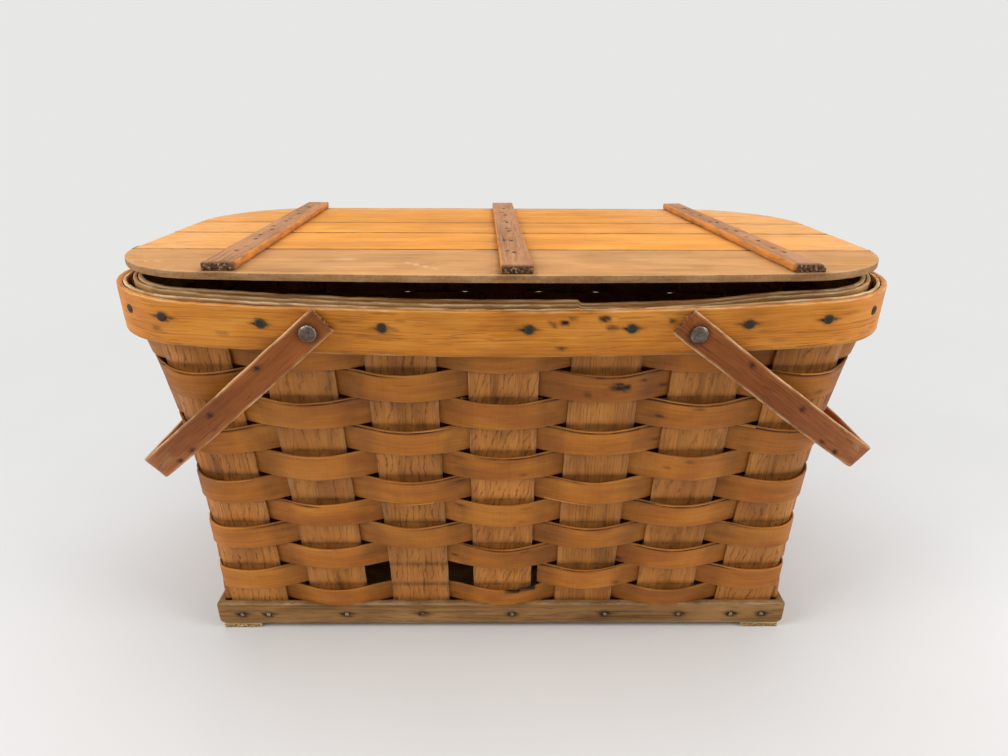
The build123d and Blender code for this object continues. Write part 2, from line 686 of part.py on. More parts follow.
def drilled(piece, fasteners):
    """A piece with a hole for each fastener that passes through it."""
    box = piece.bounding_box()
    crossing = [f for f in fasteners if box.overlaps(f.bounding_box())]
    return piece - crossing if crossing else piece


def make_basket():
    """The shell, its foot and its rim, by name."""
    rivets = {}
    for name, x in (("left", -PIVOT_X), ("right", PIVOT_X)):
        rivets[name] = [make_rivet(x, side) for side in (-1, 1)]
    rim_nails = make_rim_nails()
    base_nails = make_base_nails()
    fasteners = rim_nails + base_nails + rivets["left"] + rivets["right"]
    pieces = {"base_board": make_base_board()}
    for name, side in (("front", -1), ("back", 1)):
        pieces[f"base_strip_{name}"] = make_long_strip(side)
    for name, side in (("left", -1), ("right", 1)):
        pieces[f"base_strip_{name}"] = make_end_strip(side)
    pieces.update(make_stakes())
    pieces["rim_weaver"] = make_rim_weaver()
    pieces["outer_hoop"] = make_outer_hoop()
    pieces["inner_hoop"] = make_inner_hoop()
    basket = {name: drilled(piece, fasteners) for name, piece in pieces.items()}
    for row in range(WEAVER_ROWS):
        name = f"weaver_{row + 1}"
        broken = row == BROKEN_ROW
        basket[name] = make_broken_weaver() if broken else make_weaver(row, row_bottom(row), row_top(row))
    for name, side in (("left", -1), ("right", 1)):
        basket[f"runner_{name}"] = make_runner(side)
        basket[f"{name}_handle_rivets"] = Compound(children=rivets[name])
    basket["rim_nails"] = Compound(children=rim_nails)
    basket["base_nails"] = Compound(children=base_nails)
    leaves = [make_rim_leaf(side * HINGE_CENTRE) for side in (-1, 1)]
    pins = [make_hinge_pin(side * HINGE_CENTRE) for side in (-1, 1)]
    basket["rim_hinge_leaves"] = Compound(children=leaves)
    basket["hinge_pins"] = Compound(children=pins)
    return basket


def ajar(piece):
    """A piece of the lid, turned with it: the old lid no longer shuts quite flat."""
    hinge = Pos(0, HINGE_AXIS_Y, HINGE_AXIS_Z)
    return hinge * Rot(-LID_AJAR, 0, 0) * hinge.inverse() * piece


def make_lid():
    """The planks, the battens across them and the hinge leaves, by name."""
    lid = {}
    nails = []
    for number, name in enumerate(("left", "centre", "right")):
        row = make_batten_nails(number)
        lid[f"batten_{name}"] = ajar(drilled(make_batten(number), row))
        nails += row
    for name, plank in make_planks().items():
        lid[name] = ajar(drilled(plank, nails))
    lid["batten_nails"] = Compound(children=[ajar(nail) for nail in nails])
    lid["lid_hinge_leaves"] = Compound(children=[ajar(make_lid_leaf(side * HINGE_CENTRE)) for side in (-1, 1)])
    return lid


def main():
    pieces = make_basket()
    pieces.update(make_lid())
    pieces["left_handle"] = make_left_handle()
    pieces["right_handle"] = make_right_handle()
    os.makedirs("parts", exist_ok=True)
    for name, shape in pieces.items():
        export_step(shape, f"parts/{name}.step")


main()
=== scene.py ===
import math

import bpy
import numpy as np
from mathutils import Matrix, Vector


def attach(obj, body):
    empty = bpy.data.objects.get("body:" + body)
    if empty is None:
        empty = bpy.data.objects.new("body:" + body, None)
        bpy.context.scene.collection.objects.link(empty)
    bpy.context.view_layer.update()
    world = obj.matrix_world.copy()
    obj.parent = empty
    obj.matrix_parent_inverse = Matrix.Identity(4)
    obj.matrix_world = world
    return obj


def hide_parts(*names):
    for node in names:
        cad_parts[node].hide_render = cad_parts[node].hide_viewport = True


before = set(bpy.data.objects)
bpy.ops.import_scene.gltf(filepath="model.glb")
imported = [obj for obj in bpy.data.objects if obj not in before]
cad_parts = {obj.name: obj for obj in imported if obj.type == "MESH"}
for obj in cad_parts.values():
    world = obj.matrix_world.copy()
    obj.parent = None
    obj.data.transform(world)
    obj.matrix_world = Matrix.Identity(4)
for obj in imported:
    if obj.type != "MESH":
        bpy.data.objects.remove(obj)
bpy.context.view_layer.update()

# Everything below is in millimetres until a mesh is made.

# Sizes shared with the solid model
RIM_LENGTH, RIM_DEPTH, RIM_BOW, RIM_RADIUS = 508.0, 274.0, 10.0, 60.0
HOOP_THICKNESS, HOOP_HEIGHT, HOOP_TOP, HOOP_SAG = 3.5, 30.0, 290.1, 8.0
INNER_THICKNESS, INNER_HEIGHT, INNER_TOP, INNER_SAG = 3.0, 26.0, 292.1, 6.0
FIT = 0.3
STAKE_WIDTH, STAKE_THICKNESS = 45.0, 1.8
WEAVER_THICKNESS, WEAVER_HEIGHT, WEAVER_GAP = 1.6, 20.5, 1.4
WEAVE_EDGE, LONG_BULGE, END_BULGE, RIM_BULGE = 2.2, 3.4, 1.8, 1.4
RIM_REACH = WEAVE_EDGE + RIM_BULGE + WEAVER_THICKNESS / 2
RIM_STACK = HOOP_THICKNESS + FIT + RIM_REACH
FOOT_LENGTH, FOOT_DEPTH, FOOT_BOW, FOOT_RADIUS = 456.0, 203.0, 0.05, 4.0
STRIP_THICKNESS, STRIP_HEIGHT, STRIP_RADIUS = 5.0, 20.5, 5.0
RUNNER_HEIGHT, RUNNER_WIDTH, BOARD_THICKNESS = 4.5, 30.0, 14.0
STRIP_TOP = RUNNER_HEIGHT + STRIP_HEIGHT
FIRST_ROW, FOOT_ROW_HEIGHT, ROWS = STRIP_TOP + FIT, 16.5, 11
FLARE_END = 260.8
FRONT_PITCH, END_PITCH = 65.0, 63.0
FRONT_PLACES = [FRONT_PITCH * (n - 3) for n in range(7)]
END_PLACES = [END_PITCH * (n - 1) for n in range(3)]
SIDES, LONG = ("front", "right", "back", "left"), ("front", "back")
PLACES = {side: FRONT_PLACES if side in LONG else END_PLACES for side in SIDES}
PITCH = {side: FRONT_PITCH if side in LONG else END_PITCH for side in SIDES}
BULGE = {side: LONG_BULGE if side in LONG else END_BULGE for side in SIDES}
FIRST_STAKE, STAKES_ROUND = {"front": 0, "right": 7, "back": 10, "left": 17}, 20
LID_LENGTH, LID_FRONT, LID_BACK = 508.0, 135.0, 133.0
LID_FRONT_BOW, LID_BACK_BOW, LID_FRONT_RADIUS, LID_BACK_RADIUS = 13.0, 1.0, 78.0, 85.0
LID_AJAR = math.radians(1.2)
HINGE_Y, HINGE_Z = 139.0085, 290.1
LID_UNDER, LID_THICKNESS = 292.4, 4.5
LID_TOP = LID_UNDER + LID_THICKNESS
SEAMS = (-135.0, -61.0, 2.0, 49.0, 133.0)
BATTENS = ((-173.0, 1.3), (4.0, 1.6), (174.0, 4.2))
BATTEN_WIDTH, BATTEN_THICKNESS, BATTEN_NAILS, BATTEN_NAIL_PITCH = 19.0, 5.0, 6, 38.0
PIVOT_X, PIVOT_Z, HOOP_FACE_Y = 116.5, 268.683, 134.7504
ARM_LENGTH, ARM_TAIL, ARM_STRAIGHT, ARM_CANT = 162.0, 12.0, 55.0, 18.0
STRAP_WIDTH, STRAP_THICKNESS, BEND_RADIUS = 19.0, 4.0, 14.0
ARM_LINE_Y = HOOP_FACE_Y + 1.3 + STRAP_THICKNESS / 2
LEFT_HANG, RIGHT_HANG = 41.0, 37.0
RIM_NAILS = (-205.0, -146.0, -73.0, 15.0, 77.0, 148.0, 197.0)
RIM_NAIL_DROP, BASE_NAIL_HEIGHT = 12.0, 14.0
BASE_NAILS = (-209.0, -188.0, -125.0, -64.0, 8.0, 83.0, 143.0, 185.0, 210.0)


# Repeatable noise


def lattice(seed, ix, iy):
    h = (ix * 374761393 + iy * 668265263 + seed * 974634777) & 0xFFFFFFFF
    h = ((h ^ (h >> 13)) * 1274126177) & 0xFFFFFFFF
    return ((h ^ (h >> 16)) & 0xFFFF) / 32767.5 - 1


def noise(x, y=0.0, seed=0, octaves=1):
    """Smooth value noise between -1 and 1."""
    x, y = np.broadcast_arrays(np.asarray(x, float), np.asarray(y, float))
    total, size = 0.0, 0.0
    for octave in range(octaves):
        scale = 2.0**octave
        ix, iy = np.floor(x * scale).astype(np.int64), np.floor(y * scale).astype(np.int64)
        fx, fy = x * scale - ix, y * scale - iy
        fx, fy = fx * fx * (3 - 2 * fx), fy * fy * (3 - 2 * fy)
        s = seed * 31 + octave
        low = lattice(s, ix, iy) * (1 - fx) + lattice(s, ix + 1, iy) * fx
        high = lattice(s, ix, iy + 1) * (1 - fx) + lattice(s, ix + 1, iy + 1) * fx
        total = total + (low * (1 - fy) + high * fy) / scale
        size += 1 / scale
    return total / size


def pick(seed, index=0):
    """One repeatable number between 0 and 1."""
    return float(lattice(seed, np.int64(index), np.int64(7)) + 1) / 2


def soft(x, start, end):
    """0 up to start and 1 from end on, smooth between. With end below start it falls from 1 to 0."""
    t = np.clip((x - start) / (end - start), 0, 1)
    return t * t * (3 - 2 * t)


# Plan of the wall, as in the solid model


class Plan:
    """The wall at one level: bowed long sides, round corners and straight ends."""

    def __init__(self, half_length, half_depth, bow, radius):
        self.half_length, self.radius = half_length, radius
        self.side_radius = (half_length**2 + bow**2) / (2 * bow)
        self.side_centre = self.side_radius - half_depth
        self.corner_x = half_length - radius
        reach = self.side_radius - radius
        self.corner_y = math.sqrt(reach**2 - self.corner_x**2) - self.side_centre
        self.turn_start = math.asin(self.corner_x / reach)
        self.bow_end = self.side_radius * math.sin(self.turn_start)

    def corner(self, angle, offset, side=1.0):
        reach = self.radius + offset
        return side * (self.corner_x + reach * math.sin(angle)), -self.corner_y - reach * math.cos(angle)

    def front_angle(self, x):
        if x <= self.bow_end:
            return self.turn_start
        return math.asin(min(1.0, (x - self.corner_x) / self.radius))

    def end_angle(self, y):
        if abs(y) <= self.corner_y:
            return math.pi / 2
        return math.acos(min(1.0, (abs(y) - self.corner_y) / self.radius))

    def front(self, x, offset):
        if abs(x) > self.bow_end:
            return self.corner(self.front_angle(abs(x)), offset, math.copysign(1.0, x))
        angle, reach = math.asin(x / self.side_radius), self.side_radius + offset
        return reach * math.sin(angle), self.side_centre - reach * math.cos(angle)

    def end(self, y, offset):
        if abs(y) <= self.corner_y:
            return self.half_length + offset, y
        x, front_y = self.corner(self.end_angle(y), offset)
        return x, math.copysign(front_y, y)


FOOT_X = FOOT_LENGTH / 2 - STRIP_THICKNESS - STAKE_THICKNESS / 2
FOOT_Y = FOOT_DEPTH / 2 - STRIP_THICKNESS - STAKE_THICKNESS / 2
RIM_X, RIM_Y, RIM_LINE_RADIUS = RIM_LENGTH / 2 - RIM_STACK, RIM_DEPTH / 2 - RIM_STACK, RIM_RADIUS - RIM_STACK


def wall_plan(z):
    rise = min(1.0, max(0.0, (z - STRIP_TOP) / (FLARE_END - STRIP_TOP)))

    def grown(foot, rim, power=1):
        return foot + (rim - foot) * rise**power

    return Plan(grown(FOOT_X, RIM_X, 3), grown(FOOT_Y, RIM_Y, 1.15), grown(FOOT_BOW, RIM_BOW, 2),
                grown(FOOT_RADIUS, RIM_LINE_RADIUS))


def side_point(plan, side, place, offset):
    x, y = (plan.front if side in LONG else plan.end)(place, offset)
    return (x, y) if side in ("front", "right") else (-x, -y)


def corner_point(plan, side, turn, offset):
    """A point of the corner that follows a side."""
    first = plan.front_angle(FRONT_PLACES[-1] + STAKE_WIDTH / 2)
    last = plan.end_angle(END_PLACES[-1] + STAKE_WIDTH / 2)
    x, y = plan.corner(first + (last - first) * (turn if side in LONG else 1 - turn), offset)
    return (x if side in ("front", "right") else -x), (y if side in ("front", "left") else -y)


def path_length(points):
    """How far along a line of points each of them lies."""
    return np.concatenate([[0], np.cumsum(np.hypot(*np.diff(points, axis=0).T))])


STATION_STEP, CORNER_STATIONS = 2.5, 26
LEVELS, MIDDLE_LEVEL, RIM_LEVEL = np.linspace(0, 300, 61), 34, 58


class Ring:
    """Close stations once round the wall, each with its point and normal at every level."""

    def __init__(self):
        stations = []
        for side in SIDES:
            places, count = PLACES[side], FIRST_STAKE[side]
            low, high = places[0] - STAKE_WIDTH / 2, places[-1] + STAKE_WIDTH / 2
            for place in np.linspace(low, high, round((high - low) / STATION_STEP) + 1):
                stations.append((side_point, side, float(place), count + (place - places[0]) / PITCH[side]))
            last = stations[-1][3]
            following = END_PITCH if side in LONG else FRONT_PITCH
            first = count + len(places) - STAKE_WIDTH / 2 / following
            for turn in np.linspace(0, 1, CORNER_STATIONS)[1:-1]:
                stations.append((corner_point, side, float(turn), last + (first - last) * turn))
        stations.append((*stations[0][:3], stations[0][3] + STAKES_ROUND))
        self.side = np.array([station[1] for station in stations])
        self.number = np.array([station[3] for station in stations])
        plans = [wall_plan(z) for z in LEVELS]
        self.base, outer = (
            np.array([[at(plan, side, place, out) for plan in plans] for at, side, place, _ in stations])
            for out in (0.0, 1.0)
        )
        self.normal = outer - self.base
        self.length = path_length(self.base[:, MIDDLE_LEVEL])

    def point(self, rows, z, out):
        """Points of stations rows (n) at heights z and offsets out (n, m)."""
        k = np.clip((z / LEVELS[1]).astype(int), 0, len(LEVELS) - 2)
        share = (z / LEVELS[1] - k)[..., None]
        n = rows[:, None]
        base, normal = (of[n, k] * (1 - share) + of[n, k + 1] * share for of in (self.base, self.normal))
        return raised(base + normal * out[..., None], z)


RING = Ring()


def row_bottom(row):
    if row == ROWS - 1:
        return FIRST_ROW
    return FIRST_ROW + FOOT_ROW_HEIGHT + WEAVER_GAP + (ROWS - 2 - row) * (WEAVER_HEIGHT + WEAVER_GAP)


def row_top(row):
    return row_bottom(row) + (FOOT_ROW_HEIGHT if row == ROWS - 1 else WEAVER_HEIGHT)


def raised(flat, z):
    """Points of a plan with their heights."""
    return np.concatenate([flat, z[..., None]], -1)


def hoop_top_at(x, top=HOOP_TOP, sag=HOOP_SAG):
    return top - sag * (1 - (x / (RIM_LENGTH / 2)) ** 2)


# Materials


def rgb(code):
    parts = [int(code[i : i + 2], 16) / 255 for i in (0, 2, 4)]
    return [c / 12.92 if c <= 0.04045 else ((c + 0.055) / 1.055) ** 2.4 for c in parts] + [1.0]


class Tree:
    """Short calls that add nodes to a material or a world."""

    def __init__(self, holder):
        holder.use_nodes = True
        self.holder, self.nodes, self.links = holder, holder.node_tree.nodes, holder.node_tree.links
        self.nodes.clear()

    def add(self, kind, sockets=None, **settings):
        node = self.nodes.new("ShaderNode" + kind)
        for key, value in settings.items():
            setattr(node, key, value)
        for key, value in (sockets or {}).items():
            if isinstance(value, bpy.types.NodeSocket):
                self.links.new(value, node.inputs[key])
            else:
                node.inputs[key].default_value = value
        return node

    def math(self, operation, a, b=0.0, clamp=False):
        return self.add("Math", {0: a, 1: b}, operation=operation, use_clamp=clamp).outputs[0]

    def plus(self, a, b, clamp=False):
        return self.math("ADD", a, b, clamp)

    def times(self, a, b, clamp=False):
        return self.math("MULTIPLY", a, b, clamp)

    def swing(self, value, size):
        """A texture's value made to swing round zero."""
        return self.times(self.math("SUBTRACT", value, 0.5), size)

    def vector(self, operation, a, b):
        return self.add("VectorMath", {0: a, 1: b}, operation=operation).outputs[0]

    def mix(self, factor, a, b, blend="MIX"):
        return self.add("Mix", {0: factor, 6: a, 7: b}, data_type="RGBA", blend_type=blend).outputs[2]

    def shade(self, colour, value):
        grey = self.add("CombineColor", {0: value, 1: value, 2: value}).outputs[0]
        return self.mix(1.0, colour, grey, "MULTIPLY")

    def noise(self, vector, scale, detail=3.0, rough=0.6):
        stretched = self.vector("MULTIPLY", vector, scale)
        sockets = {"Vector": stretched, "Scale": 1.0, "Detail": detail, "Roughness": rough}
        return self.add("TexNoise", sockets).outputs["Fac"]

    def range(self, value, low, high, to_low=0.0, to_high=1.0):
        sockets = {"Value": value, "From Min": low, "From Max": high, "To Min": to_low, "To Max": to_high}
        return self.add("MapRange", sockets, interpolation_type="SMOOTHSTEP").outputs[0]

    def ramp(self, value, *stops):
        node = self.add("ValToRGB", {0: value})
        elements = node.color_ramp.elements
        while len(elements) < len(stops):
            elements.new(0.5)
        for element, (position, colour) in zip(elements, stops):
            element.position, element.color = position, colour
        return node.outputs[0]

    def bump(self, height, strength, distance):
        return self.add("Bump", {"Height": height, "Strength": strength, "Distance": distance}).outputs[0]

    def finish(self, colour, gloss, **others):
        """The surface itself, and the material's output."""
        sockets = {"Base Color": colour, "Roughness": gloss}
        sockets.update({key.replace("_", " "): value for key, value in others.items()})
        shader = self.add("BsdfPrincipled", sockets)
        self.add("OutputMaterial", {0: shader.outputs[0]})
        return self.holder


def wood(name, colours, fibre=520, streak=90, fine=0.4, broad=0.5, patchy=0.8, dash=0.3, lines=None,
         chatter=0.0, core=None, rough=0.5, bump=0.4, specular=0.25):
    """Split or sawn wood: its grain runs along the piece's own length, in the solid of the piece."""
    dark, middle, light, blush, worn, dirt_shade_colour = map(rgb, colours.split())
    t = Tree(bpy.data.materials.new(name))
    grain = t.add("Attribute", attribute_name="grain").outputs["Vector"]
    paint = t.add("Attribute", attribute_name="paint")
    tone, wear, dirt_shade_channel = t.add("SeparateColor", {0: paint.outputs["Color"]}).outputs[:3]
    end = paint.outputs["Alpha"]
    drift = t.noise(grain, (8, 16, 16), 2)
    line = t.vector("ADD", grain, t.add("CombineXYZ", {1: t.swing(drift, 0.007)}).outputs[0])
    fibres = t.noise(line, (16, fibre, fibre), 4, 0.65)
    bands = t.noise(line, (5, streak, streak), 3)
    patch = t.noise(grain, (14, 30, 30), 3)
    level = t.plus(t.swing(fibres, fine * 2), t.swing(bands, broad * 2))
    level = t.plus(level, t.swing(patch, patchy * 1.6))
    level = t.plus(level, 0.5, clamp=True)
    colour = t.ramp(level, (0.1, dark), (0.5, middle), (0.9, light))
    rosy = t.range(t.noise(grain, (21, 45, 45), 2), 0.48, 0.72)
    colour = t.mix(t.times(rosy, 0.55), colour, blush)
    pore = t.range(t.noise(line, (60, 900, 160), 2, 0.55), 0.55, 0.64)
    pore = t.times(pore, t.range(t.noise(grain, (9, 60, 60), 2), 0.36, 0.6, 0.25, 1.0))
    colour = t.mix(t.times(pore, dash), colour, dark)
    if lines:
        spacing, slant, strength = lines
        across = t.add("SeparateXYZ", {0: line})
        lean = t.plus(across.outputs[1], t.times(across.outputs[0], slant))
        wander = t.times(t.noise(grain, (45, 130, 130), 3), spacing * 0.0022)
        phase = t.times(t.plus(lean, wander), 2 * math.pi / spacing * 1000)
        ring = t.range(t.math("SINE", phase), 0.72, 0.98)
        ring = t.times(ring, t.range(t.noise(line, (110, 300, 300), 2), 0.36, 0.56))
        colour = t.mix(t.times(ring, strength), colour, dark)
        pore = t.math("MAXIMUM", pore, ring)
    if chatter:
        colour = t.shade(colour, t.range(t.noise(grain, (700, 30, 30), 3, 0.7), 0.3, 0.7, 1 - chatter, 1 + chatter))
    colour = t.shade(colour, t.range(tone, 0.0, 1.0, 0.45, 1.55))
    break_up = t.noise(grain, (60, 260, 260), 3, 0.7)
    # Worn arrises, and the painted highlight on the weavers' top edges, take the pale worn colour
    wear_and_sheen_amount = t.times(wear, t.range(break_up, 0.32, 0.62, 0.15, 1.0), clamp=True)
    colour = t.mix(wear_and_sheen_amount, colour, worn)
    # Dirt, and the painted shade in crevices and under parts, take the dark dirt colour
    dirt_and_shade_amount = t.times(dirt_shade_channel, t.range(t.noise(grain, (90, 160, 160), 3), 0.25, 0.65, 0.55, 1.1), clamp=True)
    colour = t.mix(dirt_and_shade_amount, colour, dirt_shade_colour)
    speck = t.noise(t.add("TexCoord").outputs["Object"], (620, 620, 620), 3, 0.7)
    cut = t.ramp(speck, (0.38, dirt_shade_colour), (0.52, dark), (0.66, rgb(core) if core else worn))
    colour = t.mix(t.times(end, 0.85), colour, cut)
    relief = t.math("SUBTRACT", t.times(fibres, 0.5), t.times(pore, 0.5 * dash + 0.1))
    relief = t.plus(relief, t.times(t.times(speck, end), 1.2))
    relief = t.plus(relief, t.times(bands, 0.4))
    gloss = t.range(t.noise(grain, (18, 60, 60), 3), 0.3, 0.7, rough - 0.09, rough + 0.12)
    gloss = t.plus(gloss, t.times(t.math("MAXIMUM", dirt_and_shade_amount, end), 0.22), clamp=True)
    return t.finish(colour, gloss, Normal=t.bump(relief, bump, 0.0007), Specular_IOR_Level=specular)


def metal(name, colours, rough=0.42, metallic=0.85):
    """Old iron: dark hollows, bright where it is rubbed, brown where it has rusted."""
    dark, middle, bright, rust = map(rgb, colours.split())
    t = Tree(bpy.data.materials.new(name))
    place = t.add("TexCoord").outputs["Object"]
    paint = t.add("Attribute", attribute_name="paint")
    wear, dirt_shade_channel = t.add("SeparateColor", {0: paint.outputs["Color"]}).outputs[1:3]
    pits = t.noise(place, (900, 900, 900), 4, 0.65)
    cloud = t.noise(place, (160, 160, 160), 3)
    level = t.plus(t.times(pits, 0.6), t.times(cloud, 0.4))
    colour = t.ramp(level, (0.3, dark), (0.55, middle), (0.8, bright))
    colour = t.mix(t.times(wear, t.range(pits, 0.3, 0.6, 0.4, 1.0)), colour, bright)
    rusty = t.times(t.range(cloud, 0.42, 0.66), t.plus(dirt_shade_channel, 0.35, clamp=True))
    colour = t.mix(rusty, colour, rust)
    gloss = t.plus(t.range(pits, 0.3, 0.7, rough - 0.08, rough + 0.16), t.times(rusty, 0.3), clamp=True)
    shine = t.range(rusty, 0.0, 0.8, metallic, 0.2)
    return t.finish(colour, gloss, Metallic=shine, Normal=t.bump(pits, 0.5, 0.0004))


# The six colours of a wood: dark, middle and light grain, blush, worn arrises (also used for painted highlights) and
# dirt (also used for painted shade)
WEAVER_WOOD = wood("weaver_splint", "7E4612 AE681E C6822E 924C18 CE9A5C 1A0C05",
                   fine=0.25, broad=0.22, patchy=0.6, dash=0.25, chatter=0.045, bump=0.3)
# How each kind of stake is lined: spacing in millimetres, slant and strength
STAKE_LINES = {"slanted": (4.2, -0.3, 0.65), "fine": (2.2, 0.02, 0.55),
               "coarse": (4.8, -0.06, 0.65), "plain": (9.0, -0.1, 0.4)}
STAKE_WOODS = {
    kind: wood(f"stake_splint_{kind}", "5A3412 B67432 CA8C46 9C5E2E D2A26A 1A0C05", fibre=700, fine=0.3,
               broad=0.25, patchy=0.5, dash=0.25, lines=lines, rough=0.52, bump=0.5)
    for kind, lines in STAKE_LINES.items()
}
HOOP_WOOD = wood("hoop_ash", "864A12 CC7E24 E09C42 B46A20 E2B682 1C0E05",
                 fibre=800, streak=160, broad=0.3, patchy=0.6, dash=0.6, rough=0.46)
LAYER_WOOD = wood("inner_layer", "6E4218 BA8648 DCAE70 A0703A EACDA2 1E1008",
                  fine=0.5, broad=0.4, dash=0.4, rough=0.62, bump=0.6)
FRAY_WOOD = wood("frayed_splint", "946434 C6945A DAB27E B07C48 E4C69A 2A180C",
                 fine=0.6, broad=0.4, rough=0.68, bump=0.6)
PLANK_WOOD = wood("lid_plank", "A05E18 DE902C EAAA48 D0822E E8B47A 3A1E0C",
                  fibre=900, streak=150, fine=0.32, broad=0.3, patchy=0.4, rough=0.42, bump=0.25)
FRONT_PLANK_WOOD = wood("lid_front_plank", "8C5C32 C48C52 D6A46C B8803E EAC898 3A2010", fibre=900,
                        streak=160, fine=0.35, broad=0.25, patchy=0.4, dash=0.35, bump=0.3, core="B88048")
BATTEN_WOOD = wood("batten", "5E3A1E B07A4E C6926A 9A6440 E09040 1C0E07",
                   fibre=800, broad=0.25, patchy=0.4, dash=0.5, core="B8A080")
HANDLE_WOOD = wood("handle_strap", "502409 945120 B06E32 82461A DAAE7C 1A0B05", fibre=900,
                   fine=0.3, broad=0.25, patchy=0.4, dash=0.5, rough=0.44, bump=0.3, specular=0.2)
BASE_WOOD = wood("foot_strip", "523418 966C3C B08652 7C5630 CCA87A 1E120A",
                 fibre=700, fine=0.45, broad=0.4, patchy=0.6, dash=0.5, rough=0.64, bump=0.55)
RUNNER_WOOD = wood("runner", "90703E BFA272 D2BA90 A88A5C DCC9A4 5A4428", broad=0.4, rough=0.66, bump=0.5)
IRON = metal("nail_iron", "14110C 2C281E 544E3E 3A2414", rough=0.6, metallic=0.4)
BRAD_IRON = metal("brad_iron", "3A3028 86786A C6B8A6 5A3A24", rough=0.4)
RIVET_IRON = metal("rivet_iron", "2A231E 5C5048 C8BDAE 4E3222", rough=0.34)
HINGE_IRON = metal("hinge_iron", "1E1915 3E352E 85796C 50301C", rough=0.48)


# Meshes


def build(name, points, faces, body, material, nodes, paint, grain=None, smooth=True):
    """A mesh object in metres from points in millimetres."""
    mesh = bpy.data.meshes.new(name)
    mesh.from_pydata((np.asarray(points, float) * 0.001).tolist(), [], faces)
    mesh.validate()
    for title, kind, field, values in (("grain", "VECTOR", "vector", grain), ("paint", "COLOR", "color", paint)):
        if values is not None:
            data = mesh.attributes.new(title, "FLOAT_" + kind, "POINT").data
            data.foreach_set(field, np.asarray(values, np.float32).ravel())
    mesh.materials.append(material)
    mesh.polygons.foreach_set("use_smooth", [smooth] * len(mesh.polygons))
    piece = bpy.data.objects.new(name, mesh)
    bpy.context.scene.collection.objects.link(piece)
    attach(piece, body)
    if nodes:
        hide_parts(*nodes)


def grid_faces(rows, columns, start=0):
    """Quads of a grid of points whose rows close on themselves."""
    i, j = np.meshgrid(np.arange(rows - 1), np.arange(columns), indexing="ij")
    near, right = start + i * columns, (j + 1) % columns
    return np.stack([near + j, near + right, near + columns + right, near + columns + j], -1).reshape(-1, 4).tolist()


def outward(points, faces):
    """Turns the faces round where the closed form would be inside out."""
    a, b, c, d = points[np.array([face for face in faces if len(face) == 4])].transpose(1, 0, 2)
    volume = np.sum(a * np.cross(b, c)) + np.sum(a * np.cross(c, d))
    return faces if volume > 0 else [face[::-1] for face in faces]


def plate(name, us, lo, hi, thick, place, body, slot, material, nodes, relief, seed, tone, touch=None,
          bevel=0.5, ease=0.5, columns=7, closed=False, wear=1.0):
    """A flat piece of wood swept along its grain, with eased arrises and its own colour and wear.

    It runs through the stations us, from lo to hi across them, and place puts its points in space.
    """
    n = len(us)
    lo, hi, half = (np.broadcast_to(value, n).astype(float) for value in (lo, hi, np.divide(thick, 2)))
    if not closed:
        gap = np.clip(np.minimum(us - us[0], us[-1] - us) / ease, 0, 1)
        inset = ease * (1 - np.sqrt(1 - (1 - gap) ** 2))
        lo, hi, half = lo + inset, hi - inset, np.maximum(half - inset, half * 0.2)
    b = np.minimum(np.minimum(bevel, half * 0.8), (hi - lo) * 0.2)
    lo, hi, half, b = (values[:, None] for values in (lo, hi, half, b))
    k = np.linspace(0, 1, columns)
    middle = lo + b + (0.5 * k + 0.25 * (1 - np.cos(math.pi * k))) * (hi - lo - 2 * b)
    flat, a = np.repeat(half, columns, 1), 0.3 * b
    across = np.hstack([lo, lo, lo + a, middle, hi - a, hi, hi, hi - a, middle[:, ::-1], lo + a])
    through = np.hstack([b - half, half - b, half - a, flat, half - a, half - b, b - half, a - half, -flat, a - half])
    m = across.shape[1]
    u = np.repeat(us[:, None], m, 1)
    through = through + np.sign(through) * relief * noise(u / 23, across / 7, seed, 3)
    points = place(u, across, through).reshape(-1, 3)
    side = np.abs(across - (lo + hi) / 2) / np.maximum((hi - lo) / 2, 1e-6)
    edge = np.zeros(m)
    edge[[0, 1, columns + 4, columns + 5]] = 0.55
    edge[[2, columns + 3, columns + 6, m - 1]] = 1.0
    edge[[3, columns + 2, columns + 7, m - 2]] = 0.45
    paint = np.zeros((n, m, 4))
    paint[..., 0] = tone + 0.05 * noise(u / 60, across / 30, seed + 5, 2)
    paint[..., 1] = np.clip(edge * wear * (0.55 + 0.75 * noise(u / 17, side * 2, seed + 9, 2)), 0, 1)
    if touch:
        touch(u, across, through, paint)
    offset = seed * 1.37 % 29
    grain = np.stack([u, across, through], -1) * 0.001 + offset * np.array([1, 0.61, 0.37])
    paint, grain = np.clip(paint, 0, 1).reshape(-1, 4), grain.reshape(-1, 3)
    faces = grid_faces(n, m)
    if not closed:
        rims = np.r_[:m, n * m - m : n * m]
        cut = paint[rims]
        cut[:, 3] = 1.0
        points, grain = np.vstack([points, points[rims]]), np.vstack([grain, grain[rims]])
        paint = np.vstack([paint, cut])
        faces += [list(range(n * m, n * m + m))[::-1], list(range(n * m + m, n * m + 2 * m))]
    build(name, points, outward(points, faces), body, material, nodes, paint, grain)


def lathe(name, profile, frames, body, slot, material, nodes, sides, wobble, bright):
    """Turned pieces: a profile of (radius, height) at each frame (origin, axis), a little out of true."""
    points, faces, paint = [], [], []
    for number, (origin, axis) in enumerate(frames):
        axis = Vector(axis).normalized()
        along = axis.orthogonal().normalized()
        other = axis.cross(along)
        first = len(points)
        for level, (radius, height) in enumerate(profile):
            for k in range(sides):
                angle = 2 * math.pi * k / sides
                size = radius * (1 + wobble * float(noise(k * 5.0 / sides + number * 9.1, number, 77)))
                spoke = along * math.cos(angle) + other * math.sin(angle)
                points.append(Vector(origin) + axis * height + spoke * size)
                paint.append((0.5, 1.0 if level in bright else 0.15, 0.4 + 0.5 * pick(number, 3), 0))
        last = len(points) - sides
        faces += grid_faces(len(profile), sides, first)
        faces += [list(range(first, first + sides))[::-1], list(range(last, last + sides))]
    build(name, points, faces, body, material, nodes, paint)


